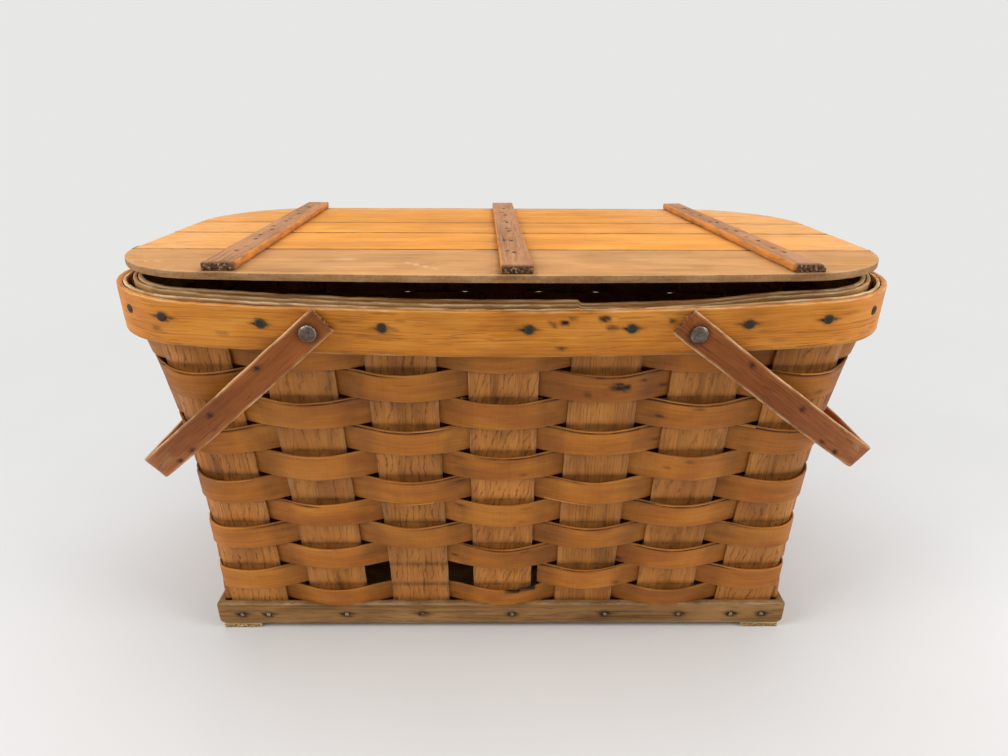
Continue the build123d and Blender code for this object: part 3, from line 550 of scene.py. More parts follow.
def splinters(name, items, body, material):
    """Thin pale slivers, each a line of points with a width, a thickness and the way it faces."""
    points, faces, paint, grain = [], [], [], []
    for number, (line, width, thick, out) in enumerate(items):
        line, out = np.asarray(line, float), np.asarray(out, float)
        first, n = len(points), len(line)
        for k in range(n):
            across = np.cross(out, line[min(k + 1, n - 1)] - line[max(k - 1, 0)])
            across /= np.linalg.norm(across)
            taper = max(0.12, min(1.0, 2.2 * (1 - k / (n - 1)) + 0.1))
            for side, lift in ((-1, 0), (1, 0), (0.4, 1)):
                points.append(line[k] + (across * side * width / 2 + out * lift * thick) * taper)
                paint.append((0.5 + 0.12 * pick(number, 5), 0.6, 0.0, 0))
                grain.append((k * 0.004 + number * 0.31, side * width * 0.0005, number * 0.77))
        last = len(points) - 3
        faces += grid_faces(n, 3, first) + [[first, first + 2, first + 1], [last, last + 1, last + 2]]
    points = np.array(points)
    build(name, points, outward(points, faces), body, material, (), paint, grain, smooth=False)


# Paint channels: tone, wear (with a painted highlight on the weavers' top edges), dirt (with painted shade in crevices
# and under parts) and end grain
TONE, WEAR_AND_SHEEN, DIRT_AND_SHADE, END_GRAIN = range(4)


def spots(paint, channel, u, v, marks):
    """Adds soft oval marks, each (u, v, length, width, amount), to one channel of the paint."""
    for at_u, at_v, size_u, size_v, amount in marks:
        away = np.sqrt(((u - at_u) / size_u) ** 2 + ((v - at_v) / size_v) ** 2)
        paint[..., channel] += amount * soft(away, 1.0, 0.35)


def stations(low, high, step, near):
    """Stations along a piece, with closer ones near both of its ends."""
    near = np.array((0, *near))
    return np.unique(np.round(np.concatenate([np.arange(low, high, step), low + near, high - near]), 3))


# Stakes

FRONT_KINDS = ("coarse", "plain", "coarse", "slanted", "fine", "plain", "coarse")


def make_stake(side, number, place, seed):
    at_corner = number in (0, len(PLACES[side]) - 1)
    x = abs(place) if side in LONG else RIM_X
    top = float(hoop_top_at(x, HOOP_TOP - 3.0))
    us = np.concatenate([[4.8, 5.1], np.arange(7, top - 1, 2.2), [top - 0.4, top]])
    half = STAKE_WIDTH / 2
    lo = -half + 0.35 * noise(us / 9, 0, seed, 3)
    hi = half + 0.35 * noise(us / 9, 5, seed, 3)

    def wall(u, v, w):
        flat = []
        for i, z in enumerate(us):
            plan = wall_plan(z)
            flat.append([side_point(plan, side, place + a, b) for a, b in zip(v[i], w[i])])
        return raised(flat, u)

    def crevice_shade(u, v, w, paint):
        # Painted shade: dark lines where the weavers' edges cross the stake, and darker towards the stake's edges,
        # which pass under the weavers
        for row in range(ROWS):
            for z in (row_bottom(row), row_top(row)):
                paint[..., DIRT_AND_SHADE] += 0.3 * soft(np.abs(u - z), 3.0, 0.5)
        paint[..., DIRT_AND_SHADE] += 0.25 * soft(np.abs(v), half - 3.0, half)
        paint[..., TONE] += 0.07 * noise(u / 24, v / 40, seed + 2)

    name = f"stake_{side}_{number + 1}"
    kind = FRONT_KINDS[number] if side == "front" else tuple(STAKE_LINES)[int(4 * pick(seed, 9))]
    plate(name + "_splint", us, lo, hi, STAKE_THICKNESS, wall, "basket", "stake_wood", STAKE_WOODS[kind],
          [name], 0.07, seed, 0.47 + 0.1 * pick(seed), crevice_shade, bevel=0.35, ease=0.3, columns=12 if at_corner else 9)


for s, side in enumerate(SIDES):
    for n, place in enumerate(PLACES[side]):
        make_stake(side, n, place, 11 + 10 * s + n)


# Weavers

BROKEN_ROW, BROKEN_FROM, BROKEN_TO = 9, 1 + 10 / FRONT_PITCH, 3 + 26 / FRONT_PITCH
# Where the lowest weaver's top edge is torn, along the front from its first stake
TEAR_FROM, TEAR_TO = 195, 219
WEAVER_TONES = (0.48, 0.48, 0.52, 0.5, 0.55, 0.52, 0.57, 0.52, 0.56, 0.54, 0.48, 0.55)
# Knots in the second weaver: from its fifth stake, up, length, height and amount
KNOTS = ((6, 1.5, 5, 3.4, 1.3), (13, 0.5, 5, 3.6, 1.5), (9, 4, 3, 2, 1.0), (-11, -4, 4, 3, 0.7), (24, 4, 2, 1.6, 0.8))


def make_weaver(row):
    """A splint woven round the basket. The rim's is row -1, and the broken one stops where it is gone."""
    seed = 101 + row * 3
    name = "rim_weaver" if row < 0 else f"weaver_{row + 1}"
    at = np.arange(len(RING.number))
    broken = row == BROKEN_ROW
    if broken:
        left, right = np.searchsorted(RING.number, (BROKEN_FROM, BROKEN_TO))
        at = np.concatenate([at[right:-1], at[: left + 1]])
    length = RING.length[at]
    if broken:
        length[-left - 1 :] += RING.length[-1]
    number, run = RING.number[at], RING.length[at]
    along = number * FRONT_PITCH
    wave = np.cos(math.pi * (number + row + 1))
    torn = soft(along, TEAR_FROM, TEAR_FROM + 4) * soft(along, TEAR_TO + 4, TEAR_TO)
    if row < 0:
        dip = 1.6 * np.cos(math.pi * number)
        bottom = row_top(0) + 0.75 - np.maximum(dip, 0) + 0.3 * np.minimum(dip, 0)
        top = hoop_top_at(RING.base[at, RIM_LEVEL, 0], HOOP_TOP - 12.5) + 0.5 * noise(length / 5, 3, seed, 3)
        bulge = RIM_BULGE
    else:
        # The rows seen through the open lid fit close, so that no light shows between them
        tight = (RING.side[at] == "back") & (row in (1, 2, 3))
        lean = np.abs(wave)
        dip = wave * np.where(tight, 0.15, 1.8)
        fill = np.where(tight, 0.64 + 0.7 * soft(lean, 0.15, 0.5), 0.64 * soft(lean, 0.85, 0.15))
        rough = lean * ~tight
        bottom = row_bottom(row) - dip - fill + rough * (0.2 + 0.55 * noise(length / 24, 1, seed, 3))
        top = row_top(row) - dip + fill + rough * (0.55 * noise(length / 24, 2, seed, 3) - 0.3 * (row > 0))
        if row == ROWS - 1:
            gone = soft(along, TEAR_FROM, TEAR_FROM + 3) * soft(along, TEAR_TO + 4, TEAR_TO)
            top = top - 2.4 * gone * np.abs(noise((along - TEAR_FROM) / 2.6, 5, seed, 2))
        bulge = np.array([BULGE[side] for side in RING.side[at]]) + 0.25 * noise(number * 0.5 + 0.25, row, seed)
    middle, height = (bottom + top) / 2, float(np.mean(top - bottom))
    off = (WEAVE_EDGE + bulge) * wave * (1 - 0.1 * (1 - wave**2))
    # Where the face has split along its top edge: how far down, and how open
    down = 1.1 + 0.5 * noise(run / 33, 4, seed)
    opened = soft(noise(run / 60, row * 7, seed + 2), -0.25, 0.15) * (row >= 0)

    def from_split(v):
        return np.abs(v - v.max(1)[:, None] + down[:, None])

    def wall(u, v, w):
        w = w - 0.45 * opened[:, None] * soft(from_split(v), 0.9, 0.3) * (w > 0)
        return RING.point(at, middle[:, None] + v, w + off[:, None])

    def marks(u, v, w, paint):
        place = along[:, None]
        # Painted shade: darker where the weaver turns to pass behind a stake
        behind_stake_shade = 1 - soft(np.abs(np.cos(math.pi * number)), 0.15, 0.75)
        paint[..., DIRT_AND_SHADE] += 0.3 * behind_stake_shade[:, None]
        # Painted shade: a dark line in the crack under the split top edge
        paint[..., DIRT_AND_SHADE] += 1.1 * opened[:, None] * soft(from_split(v), 0.8, 0.2) * (w > 0)
        paint[..., TONE] += (0.07 * noise(np.round(number) * 3.7, row * 5.3, seed))[:, None]
        # Painted highlight on top of the wear: the top edge paler, where it catches the light
        paint[..., WEAR_AND_SHEEN] += 0.12 * soft(v * 2 / height, 0.85, 1.0)
        for n in range(9):
            x, y, wide, high = (pick(seed + n, k) for k in (61, 62, 63, 64))
            mark = STAKES_ROUND * FRONT_PITCH * x, 14 * y - 7, 2 + 4 * wide, 1 + 1.5 * high, 0.5
            spots(paint, DIRT_AND_SHADE, place, v, [mark])
        if row == ROWS - 1:
            paint[..., DIRT_AND_SHADE] += torn[:, None] * soft(v, 3.5, 6.5)
        if row == 1:
            spots(paint, DIRT_AND_SHADE, place - 4 * FRONT_PITCH, v, KNOTS)

    plate(name + "_splint", length, bottom - middle, top - middle, WEAVER_THICKNESS, wall, "basket", "weaver_wood",
          WEAVER_WOOD, [name], 0.1, seed, WEAVER_TONES[row], marks, bevel=0.35, ease=0.4, columns=13,
          closed=not broken, wear=0.45)


for row in range(-1, ROWS):
    make_weaver(row)

# Split strips on the front: row, place, height, length, width, how far it stands off and how far it rises
FRONT_SLIVERS = (
    (2, -205, 19.6, 46, 1.0, 1.2, 0.8), (3, -30, 19.9, -38, 0.9, 1.0, 1.0), (4, 118, 19.4, 34, 1.1, 1.3, 0.4),
    (7, -12, 19.8, 40, 0.8, 0.9, 0.9), (3, 170, 20.0, -30, 1.0, 1.0, 0.6), (2, 68, 20.2, 30, 0.7, 0.8, 1.0),
    (5, 30, 0.6, 36, 0.9, 0.9, -0.6), (8, -128, 19.8, -30, 0.8, 1.1, 0.5), (6, 142, 19.9, -34, 0.8, 1.2, 0.5),
    (1, -140, 19.7, 30, 0.9, 0.8, 0.8),
)


def sliver(side, row, place, height, length, width, lift, rise):
    """A thin strip split from a weaver's face, held at one end and standing a little off it."""
    line = []
    for t in np.linspace(0, 1, 7):
        at = place + length * t
        stake = FIRST_STAKE[side] + (at - PLACES[side][0]) / PITCH[side]
        wave = math.cos(math.pi * (stake + row + 1))
        off = (WEAVE_EDGE + BULGE[side]) * wave + WEAVER_THICKNESS / 2 + 0.1 + lift * t * t
        z = row_bottom(row) + height + rise * t * t - 1.7 * wave
        line.append((*side_point(wall_plan(z), side, at, off), z))
    near, far = (side_point(wall_plan(z), side, place, reach) for reach in (0.0, 1.0))
    return line, width, 0.35, (far[0] - near[0], far[1] - near[1], 0)


def make_slivers():
    items = [sliver("front", *item) for item in FRONT_SLIVERS]
    for n in range(22):
        side = SIDES[n % 4]
        count = len(PLACES[side])
        row, stake = 1 + int(pick(n, 1) * 9), int(pick(n, 2) * count)
        inside = [(FIRST_STAKE[side] + k % count + row) % 2 == 0 for k in (stake, stake + 1)]
        stake = (stake + inside[0]) % count
        if all(inside) or (row == BROKEN_ROW and side == "front"):
            continue
        forward = 1 if pick(n, 4) > 0.5 else -1
        start = PLACES[side][stake] - forward * (4 + 12 * pick(n, 5))
        height, rise = (19.8, 0.5) if pick(n, 6) > 0.35 else (0.6, -0.4)
        items.append(sliver(side, row, start, height, forward * (14 + 20 * pick(n, 7)),
                            0.5 + 0.5 * pick(n, 8), 0.4 + 0.9 * pick(n, 9), rise))
    splinters("weaver_slivers", items, "basket", WEAVER_WOOD)


make_slivers()


# Rim


def rim_ring(offset):
    """Points, normals and lengths round the rim at one offset."""
    normal = RING.normal[:, RIM_LEVEL]
    base = RING.base[:, RIM_LEVEL] + normal * offset
    return base, normal, path_length(base)


def is_front(normal):
    return normal[..., 1] < -0.3


def outer_wear(x, front):
    """How much of the outer hoop's top edge has gone: most at the left of the front."""
    return 0.7 + front * 1.1 * soft(x, -222, -190) * soft(x, -90, -150)


def inner_wear(x, front):
    """The same for the inner hoop, which has lost a strip right of the middle of the front."""
    return front * (1.5 * soft(np.abs(x), 200, 60) + 2.2 * soft(x, 46, 47.5) * soft(x, 168, 120))


LAP_START, LAP, LAP_THINNING = 13.4, 46.0, 0.84


def make_hoop(name, outer, thickness, top, sag, height, material, seed, tone, touch, fray, lower):
    """A bent hoop whose two tapered ends lap at the back."""
    base, normal, length = rim_ring(outer - thickness / 2)
    start = int(np.searchsorted(RING.number, LAP_START))
    end = int(np.searchsorted(length, length[start] + LAP))
    at = np.concatenate([np.arange(start, len(base) - 1), np.arange(end)])
    u = length[at]
    u[-end:] += length[-1]
    u -= u[0]
    opening, closing = soft(u, 0, LAP), soft(u[-1] - u, 0, LAP)
    thick = thickness * (1 - LAP_THINNING + LAP_THINNING * np.minimum(opening, closing))
    shift = thickness / 2 * LAP_THINNING * (closing - opening)
    middle, normal = base[at], normal[at]
    x = middle[:, 0]
    upper = hoop_top_at(x, top, sag)
    hi = fray * noise(u / 6, 0, seed, 3) - fray - lower(x, is_front(normal))
    lo = -height + 0.3 * noise(u / 13, 4, seed, 2)

    def rim(uu, v, w):
        return raised(middle[:, None] + normal[:, None] * (w + shift[:, None])[..., None], upper[:, None] + v)

    def marks(uu, v, w, paint):
        touch(np.repeat(x[:, None], uu.shape[1], 1), v, w, paint, normal)

    plate(name + "_wood", u, lo, hi, thick, rim, "basket", "hoop_wood", material, [name], 0.12, seed, tone, marks,
          bevel=0.6, ease=0.3, columns=21)


# Knots and stains on the hoop's front: across, up from its top edge, length, height and amount
HOOP_MARKS = (
    (36, -8, 4.4, 2.6, 1.3), (28, -7.5, 2.8, 1.8, 0.9), (30.5, -9.5, 2.6, 1.6, 0.9), (60, -5.5, 5, 2.8, 1.2),
    (65, -11.5, 5, 2.6, 0.9), (101, -8, 3, 2.6, 1.0), (35, -24, 4, 1.8, 0.8), (-170, -20, 6, 2, 0.4),
    (-92, -9, 12, 1.3, 0.4), (168, -23, 10, 1.6, 0.4), (-211, -20, 5, 3, 0.5), (41, -5, 3, 1.6, 0.7),
)


def outer_touch(x, v, w, paint, normal):
    colours = np.zeros_like(paint)
    for place in RIM_NAILS:
        spots(colours, DIRT_AND_SHADE, x, v, [(place, -RIM_NAIL_DROP, 5.6, 4.6, 0.9), (place, -12.2, 11, 1.2, 0.9)])
    spots(colours, DIRT_AND_SHADE, x, v, [(place, -15, 13, 10, 0.7) for place in (-PIVOT_X, PIVOT_X)])
    spots(colours, DIRT_AND_SHADE, x, v, HOOP_MARKS)
    paint += colours * ((normal[:, 1] < -0.2)[:, None] & (w > 0))[..., None]
    # Painted shade: darker along the bottom edge, where the hoop sits on the weave
    paint[..., DIRT_AND_SHADE] += 0.3 * soft(v + HOOP_HEIGHT, 2.5, 0.4)
    # Random tone, and a painted highlight: lighter towards the corners, which face the side light
    paint[..., TONE] += 0.06 * noise(x / 45, v / 9, 71, 2) + 0.1 * soft(np.abs(x), 120, 250) - 0.04


def inner_touch(x, v, w, paint, normal):
    paint[..., TONE] += 0.08 * noise(x / 30, v / 9, 73, 2)
    # Painted shade: darker along the bottom edge, where the hoop meets the weave
    paint[..., DIRT_AND_SHADE] += 0.25 * soft(v + INNER_HEIGHT, 4, 0.4)
    paint[..., WEAR_AND_SHEEN] += 0.3 * soft(v, -1.6, -0.2)


INNER_FACE = -RIM_REACH - FIT
make_hoop("outer_hoop", RIM_STACK, HOOP_THICKNESS, HOOP_TOP, HOOP_SAG, HOOP_HEIGHT, HOOP_WOOD, 301, 0.5,
          outer_touch, 0.25, outer_wear)
make_hoop("inner_hoop", INNER_FACE, INNER_THICKNESS, INNER_TOP, INNER_SAG, INNER_HEIGHT, LAYER_WOOD, 331, 0.47,
          inner_touch, 0.3, inner_wear)


def make_layer(name, inner, outer, rise, seed, step):
    """A thin filling splint between the hoops, whose torn top edge shows beside theirs."""
    base, normal, length = rim_ring((inner + outer) / 2)
    x = base[:, 0]
    top = hoop_top_at(x) + rise + 0.35 * noise(length / 7, 0, seed, 4) - 0.7 * soft(np.sin(x / 41.0 + seed), 0.75, 0.8)
    top = top - step * inner_wear(x, is_front(normal))

    def rim(u, v, w):
        out = w + 0.25 * noise(u / 31, 0, seed + 1, 2)
        return raised(base[:, None] + normal[:, None] * out[..., None], top[:, None] + v)

    def torn(u, v, w, paint):
        paint[..., WEAR_AND_SHEEN] += 0.5 * soft(v, -1.4, -0.3) * soft(noise(u / 9, w, seed + 2, 2), -0.4, 0.3)
        # Painted shade: darker below the top edge, down in the gap between the hoops
        paint[..., DIRT_AND_SHADE] += 0.5 * soft(v, -1.5, -5)

    plate(name, length, -11.0, 0.0, outer - inner, rim, "basket", "weaver_wood", LAYER_WOOD, (), 0.15, seed, 0.45,
          torn, bevel=0.35, closed=True)


make_layer("rim_layer_outer", 1.9, 4.0, -0.1, 341, 0.3)
make_layer("rim_layer_inner", -4.0, -1.9, 1.5, 351, 0.85)
# Where fibres stand: offset, level and sag of the edge, their number and the edge's wear
FRAYED = (
    (RIM_STACK - 2.6, HOOP_TOP, HOOP_SAG, 34, outer_wear), (-2.6, HOOP_TOP + 1.2, HOOP_SAG, 50, inner_wear),
    (3.0, HOOP_TOP + 0.2, HOOP_SAG, 60, outer_wear), (-RIM_REACH - 1.0, INNER_TOP, INNER_SAG, 30, inner_wear),
)


def make_rim_frays():
    """Loose fibres that stand along the tops of the hoops and of the last weaver."""
    items, seed = [], 0
    for offset, top, sag, count, worn in FRAYED:
        base, normal, _ = rim_ring(offset)
        for n in range(count):
            seed += 1
            start, reach, rise, lean = (pick(seed, k) for k in (1, 2, 3, 4))
            start, reach = int((n + start) / count * (len(base) - 12)), 3 + int(reach * 6)
            rise, lean = 0.2 + 0.5 * rise, (lean - 0.5) * 1.2
            line = []
            for t in np.linspace(0, 1, 5):
                i = min(len(base) - 1, start + round(reach * t))
                level = hoop_top_at(base[i, 0], top, sag) - 0.9 - worn(base[i, 0], is_front(normal[i]))
                line.append((*(base[i] + normal[i] * lean * t), level + min(rise * t, 0.8)))
            items.append((line, 0.5 + 0.5 * pick(seed, 6), 0.5, (0, 0, 1)))
    splinters("rim_frays", items, "basket", FRAY_WOOD)


make_rim_frays()


# Nails and rivets

CORNER_NAIL_TURN = math.radians(38)


def rim_frames():
    plan, places = Plan(RIM_X, RIM_Y, RIM_BOW, RIM_LINE_RADIUS), []
    for side in SIDES:
        for place in RIM_NAILS if side in LONG else END_PLACES:
            places.append([side_point(plan, side, place, RIM_STACK + out) for out in (0, 1)])
    for x_sign in (-1, 1):
        for y_sign in (-1, 1):
            both = [plan.corner(CORNER_NAIL_TURN, RIM_STACK + out, x_sign) for out in (0, 1)]
            places.append([(x, -y * y_sign) for x, y in both])
    return [((x, y, float(hoop_top_at(x)) - RIM_NAIL_DROP), (far_x - x, far_y - y, 0))
            for (x, y), (far_x, far_y) in places]


lathe("rim_nail_heads", ((1.1, -8), (1.1, -0.2), (2.9, -0.1), (3.1, 0.1), (2.9, 0.35), (2.0, 0.5), (0.8, 0.5)),
      rim_frames(), "basket", "nail_metal", IRON, ["rim_nails"], 16, 0.12, (4,))
base_frames = []
for sign in (-1, 1):
    base_frames += [((-sign * x, sign * FOOT_DEPTH / 2, BASE_NAIL_HEIGHT), (0, sign, 0)) for x in BASE_NAILS]
    base_frames += [((sign * FOOT_LENGTH / 2, y, BASE_NAIL_HEIGHT), (sign, 0, 0)) for y in END_PLACES]
lathe("base_nail_heads", ((1.1, -10), (1.1, -0.2), (1.5, 0.0), (1.55, 0.2), (1.2, 0.38), (0.5, 0.42)),
      base_frames, "basket", "nail_metal", BRAD_IRON, ["base_nails"], 12, 0.15, (3, 4))


def make_rivets(name, x):
    """Domed rivets outside, with clinched burrs inside."""
    face = ARM_LINE_Y + STRAP_THICKNESS / 2 + FIT
    inside = HOOP_FACE_Y - RIM_STACK + INNER_FACE - INNER_THICKNESS - 0.25
    head = ((2.4, inside - face), (2.4, -0.1), (4.9, 0.0), (5.3, 0.25), (5.2, 0.6), (4.5, 1.25), (3.3, 1.9),
            (1.9, 2.25), (0.7, 2.4))
    burr = ((2.6, -1.2), (4.6, -1.15), (5.0, -0.8), (5.0, 0.0), (2.4, 0.1))
    for part, profile, y, nodes, *looks in (("_heads", head, face, [name], 28, 0.02, (2, 3, 4)),
                                            ("_burrs", burr, inside, (), 20, 0.05, (1, 2))):
        frames = [((x, sign * y, PIVOT_Z), (0, sign, 0)) for sign in (-1, 1)]
        lathe(name + part, profile, frames, "basket", "rivet_metal", RIVET_IRON, nodes, *looks)


make_rivets("left_handle_rivets", -PIVOT_X)
make_rivets("right_handle_rivets", PIVOT_X)


# Foot


def make_board(name, slot, material, end, sides, bottom, top, along_y, seed, relief, columns, bevel):
    """A straight board whose grain runs along x or y, from end to end."""

    def lie(u, v, w):
        flat = (v, u) if along_y else (u, v)
        return np.stack([*flat, (bottom + top) / 2 + w], -1)

    plate(name + "_wood", stations(-end, end, 4.0, (0.2, 0.6)), *sides, top - bottom, lie, "basket", slot, material,
          [name], relief, seed, 0.5, bevel=bevel, columns=columns)


def make_strip(name, fixed, along_x, half, seed):
    """A strip on edge: its grain runs along the foot and its face looks outward."""
    sign = 1 if fixed > 0 else -1
    us = stations(-half, half, 3.0, (0.4, 1.2, 2.5))
    z = (RUNNER_HEIGHT + STRIP_TOP) / 2
    gap = np.clip(half - np.abs(us), 0, STRIP_RADIUS)
    drop = (STRIP_RADIUS - np.sqrt(np.maximum(0, STRIP_RADIUS**2 - (STRIP_RADIUS - gap) ** 2))) * along_x
    lo = -STRIP_HEIGHT / 2 + drop + 0.15 + 0.15 * noise(us / 15, 2, seed, 2)
    hi = STRIP_HEIGHT / 2 - 0.15 + 0.15 * noise(us / 11, 1, seed, 3)
    nails = [-sign * place for place in BASE_NAILS] if along_x else END_PLACES

    def strip(u, v, w):
        out = fixed - sign * (STRIP_THICKNESS / 2 - w)
        flat = (u, out) if along_x else (out, u)
        return np.stack([*flat, z + v], -1)

    def marks(u, v, w, paint):
        colours, level = np.zeros_like(paint), BASE_NAIL_HEIGHT - z
        for place in nails:
            spots(colours, DIRT_AND_SHADE, u, v, ((place, level, 6.5, 4.5, 1.0), (place + 2, level, 12, 1.6, 0.7)))
        paint += colours * (w > 0)[..., None]
        # Painted shade: darker along the top edge, where the wall stands on the strip, and along the bottom edge by
        # the floor
        paint[..., DIRT_AND_SHADE] += 0.35 * soft(v, 8.0, 10.2) + 0.25 * soft(v, -7.5, -10.2)
        paint[..., TONE] += 0.06 * noise(u / 50, v / 8, seed + 4, 2)

    plate(name + "_wood", us, lo, hi, STRIP_THICKNESS, strip, "basket", "base_wood", BASE_WOOD, [name], 0.12, seed,
          0.5, marks, bevel=0.8, ease=0.6, columns=11)


make_strip("base_strip_front", -FOOT_DEPTH / 2, True, FOOT_LENGTH / 2, 401)
make_strip("base_strip_back", FOOT_DEPTH / 2, True, FOOT_LENGTH / 2, 411)
make_strip("base_strip_left", -FOOT_LENGTH / 2, False, FOOT_DEPTH / 2 - STRIP_THICKNESS, 421)
make_strip("base_strip_right", FOOT_LENGTH / 2, False, FOOT_DEPTH / 2 - STRIP_THICKNESS, 431)
BOARD_X, BOARD_Y = FOOT_X - STAKE_THICKNESS / 2, FOOT_Y - STAKE_THICKNESS / 2 - FOOT_BOW
make_board("base_board", "base_wood", BASE_WOOD, BOARD_X, (-BOARD_Y, BOARD_Y), RUNNER_HEIGHT,
           RUNNER_HEIGHT + BOARD_THICKNESS, False, 441, 0.15, 25, 0.8)
for name, sign in (("left", -1), ("right", 1)):
    x = sign * (FOOT_LENGTH / 2 - STRIP_THICKNESS / 2 - RUNNER_WIDTH / 2)
    make_board(f"runner_{name}", "runner_wood", RUNNER_WOOD, FOOT_DEPTH / 2 - FIT,
               (x - RUNNER_WIDTH / 2, x + RUNNER_WIDTH / 2), 0.0, RUNNER_HEIGHT, True, 451 + sign, 0.05, 9, 0.6)


# Lid


def ajar(points):
    """Points of the lid, turned a little about its hinge, because the old lid no longer shuts quite flat."""
    points = np.array(points, float)
    y, z = points[..., 1] - HINGE_Y, points[..., 2] - HINGE_Z
    points[..., 1] = HINGE_Y + y * math.cos(LID_AJAR) + z * math.sin(LID_AJAR)
    points[..., 2] = HINGE_Z - y * math.sin(LID_AJAR) + z * math.cos(LID_AJAR)
    return points


def lid_edge(x, reach, bow, radius):
    """How far out one long edge of the lid lies at x: a bowed side between round corners."""
    half = LID_LENGTH / 2
    side_radius = (half**2 + bow**2) / (2 * bow)
    centre, inner, x = reach - side_radius, half - radius, np.abs(x)
    corner = centre + math.sqrt((side_radius - radius) ** 2 - inner**2)
    side = centre + np.sqrt(side_radius**2 - x**2)
    turn = corner + np.sqrt(np.maximum(0, radius**2 - np.maximum(0, x - inner) ** 2))
    return np.where(x < inner * side_radius / (side_radius - radius), side, turn)


def lid_front(x):
    return -lid_edge(x, LID_FRONT, LID_FRONT_BOW, LID_FRONT_RADIUS)


# Each plank's shortening at its left and right end, its drop and its tone
PLANKS = ((0.0, 0.2, 0.0, 0.5), (0.9, 0.0, 0.1, 0.54), (0.3, 0.8, 0.05, 0.5), (0.6, 0.5, 0.12, 0.47))
END_CURL, END_STATIONS, PLANK_STEP = 14, 24, 3.0
# A pale scuff on the front plank, and one that slants: across, along, length, height and amount
SCUFF, SLANTED_SCUFF = (-40, -101, 9, 1.2, 1.2), (-48, -112, 15, 1.8, 1.6)


def make_plank(number):
    seed, half, first, last = 501 + 10 * number, LID_LENGTH / 2, number == 0, number == len(PLANKS) - 1
    short_left, short_right, drop, tone = PLANKS[number]
    curl = END_CURL * (1 - np.cos(np.linspace(0, math.pi / 2, END_STATIONS)))[:-1]
    middle = np.arange(END_CURL - half, half - END_CURL + 1, PLANK_STEP)
    us = np.concatenate([short_left - half + curl, middle, (half - short_right - curl)[::-1]])
    near, far = SEAMS[number] + FIT * (not first), SEAMS[number + 1] - FIT * (not last)
    lo = np.maximum(lid_front(us), near + 0.12 * noise(us / 19, 1, seed, 2))
    back = lid_edge(us, LID_BACK, LID_BACK_BOW, LID_BACK_RADIUS)
    hi = np.minimum(back, far + 0.12 * noise(us / 19, 2, seed, 2))
    if first:
        lo = lo + 0.35 * np.abs(noise(us / 2.3, 3, seed, 3)) + 0.7 * np.maximum(0, noise(us / 9, 8, seed, 2) - 0.45)
    if last:
        hi = hi - 0.25 * np.abs(noise(us / 4, 3, seed, 3))
    hi = np.maximum(hi, lo + 0.4)

    def board(u, v, w):
        return ajar(np.stack([u, v, LID_UNDER + LID_THICKNESS / 2 - drop + w], -1))

    def marks(u, v, w, paint):
        paint[..., TONE] += 0.07 * noise(u / 70, v / 16, seed + 3, 2)
        paint[..., WEAR_AND_SHEEN] += 0.35 * soft(v, 95, 130)
        colours = np.zeros_like(paint)
        if first:
            edge = (np.abs(v - lid_front(u)) < 1.2) & (np.abs(w) < 2.2)
            paint[..., END_GRAIN] = 0.3 * edge
            paint[..., TONE] -= 0.3 * edge
            for n in range(14):
                mark = -230 + 460 * pick(n, 41), -128 + 55 * pick(n, 42), 5 + 12 * pick(n, 43), 0.8, 0.5
                spots(colours, WEAR_AND_SHEEN, u, v, [mark])
            slant = 22 * (np.clip((u + 62) / 26, 0, 1) - 0.5)
            spots(colours, WEAR_AND_SHEEN, u, v + slant, [SLANTED_SCUFF])
            spots(colours, WEAR_AND_SHEEN, u, v, [SCUFF])
            paint[..., WEAR_AND_SHEEN] += 0.1 * soft(v - lid_front(u), 7, 0.5)
            paint[..., DIRT_AND_SHADE] += 0.16 * soft(noise(u / 30, v / 14, 58, 2), 0.2, 0.7)
        else:
            paint[..., WEAR_AND_SHEEN] += 0.6 * soft(np.abs(u + 20 * (number - 1)), 110, 240)
        seam = np.minimum(v - v.min(1)[:, None] + 2 * first, v.max(1)[:, None] - v)
        paint[..., DIRT_AND_SHADE] += 0.7 * soft(seam, 1.6, 0.3)
        # Painted shade: darker beside and under the battens
        for centre, skew in BATTENS:
            line = centre - (v + 1) * math.tan(math.radians(skew))
            colours[..., DIRT_AND_SHADE] += 0.5 * soft(np.abs(u - line) - BATTEN_WIDTH / 2, 4.5, 0)
        paint += colours * (w > 0)[..., None]

    name = f"lid_plank_{number + 1}"
    material = FRONT_PLANK_WOOD if first else PLANK_WOOD
    plate(name + "_wood", us, lo, hi, LID_THICKNESS, board, "lid", "lid_wood", material, [name], 0.08, seed, tone,
          marks, bevel=0.55, ease=0.25, columns=19, wear=0.3)


for number in range(len(PLANKS)):
    make_plank(number)


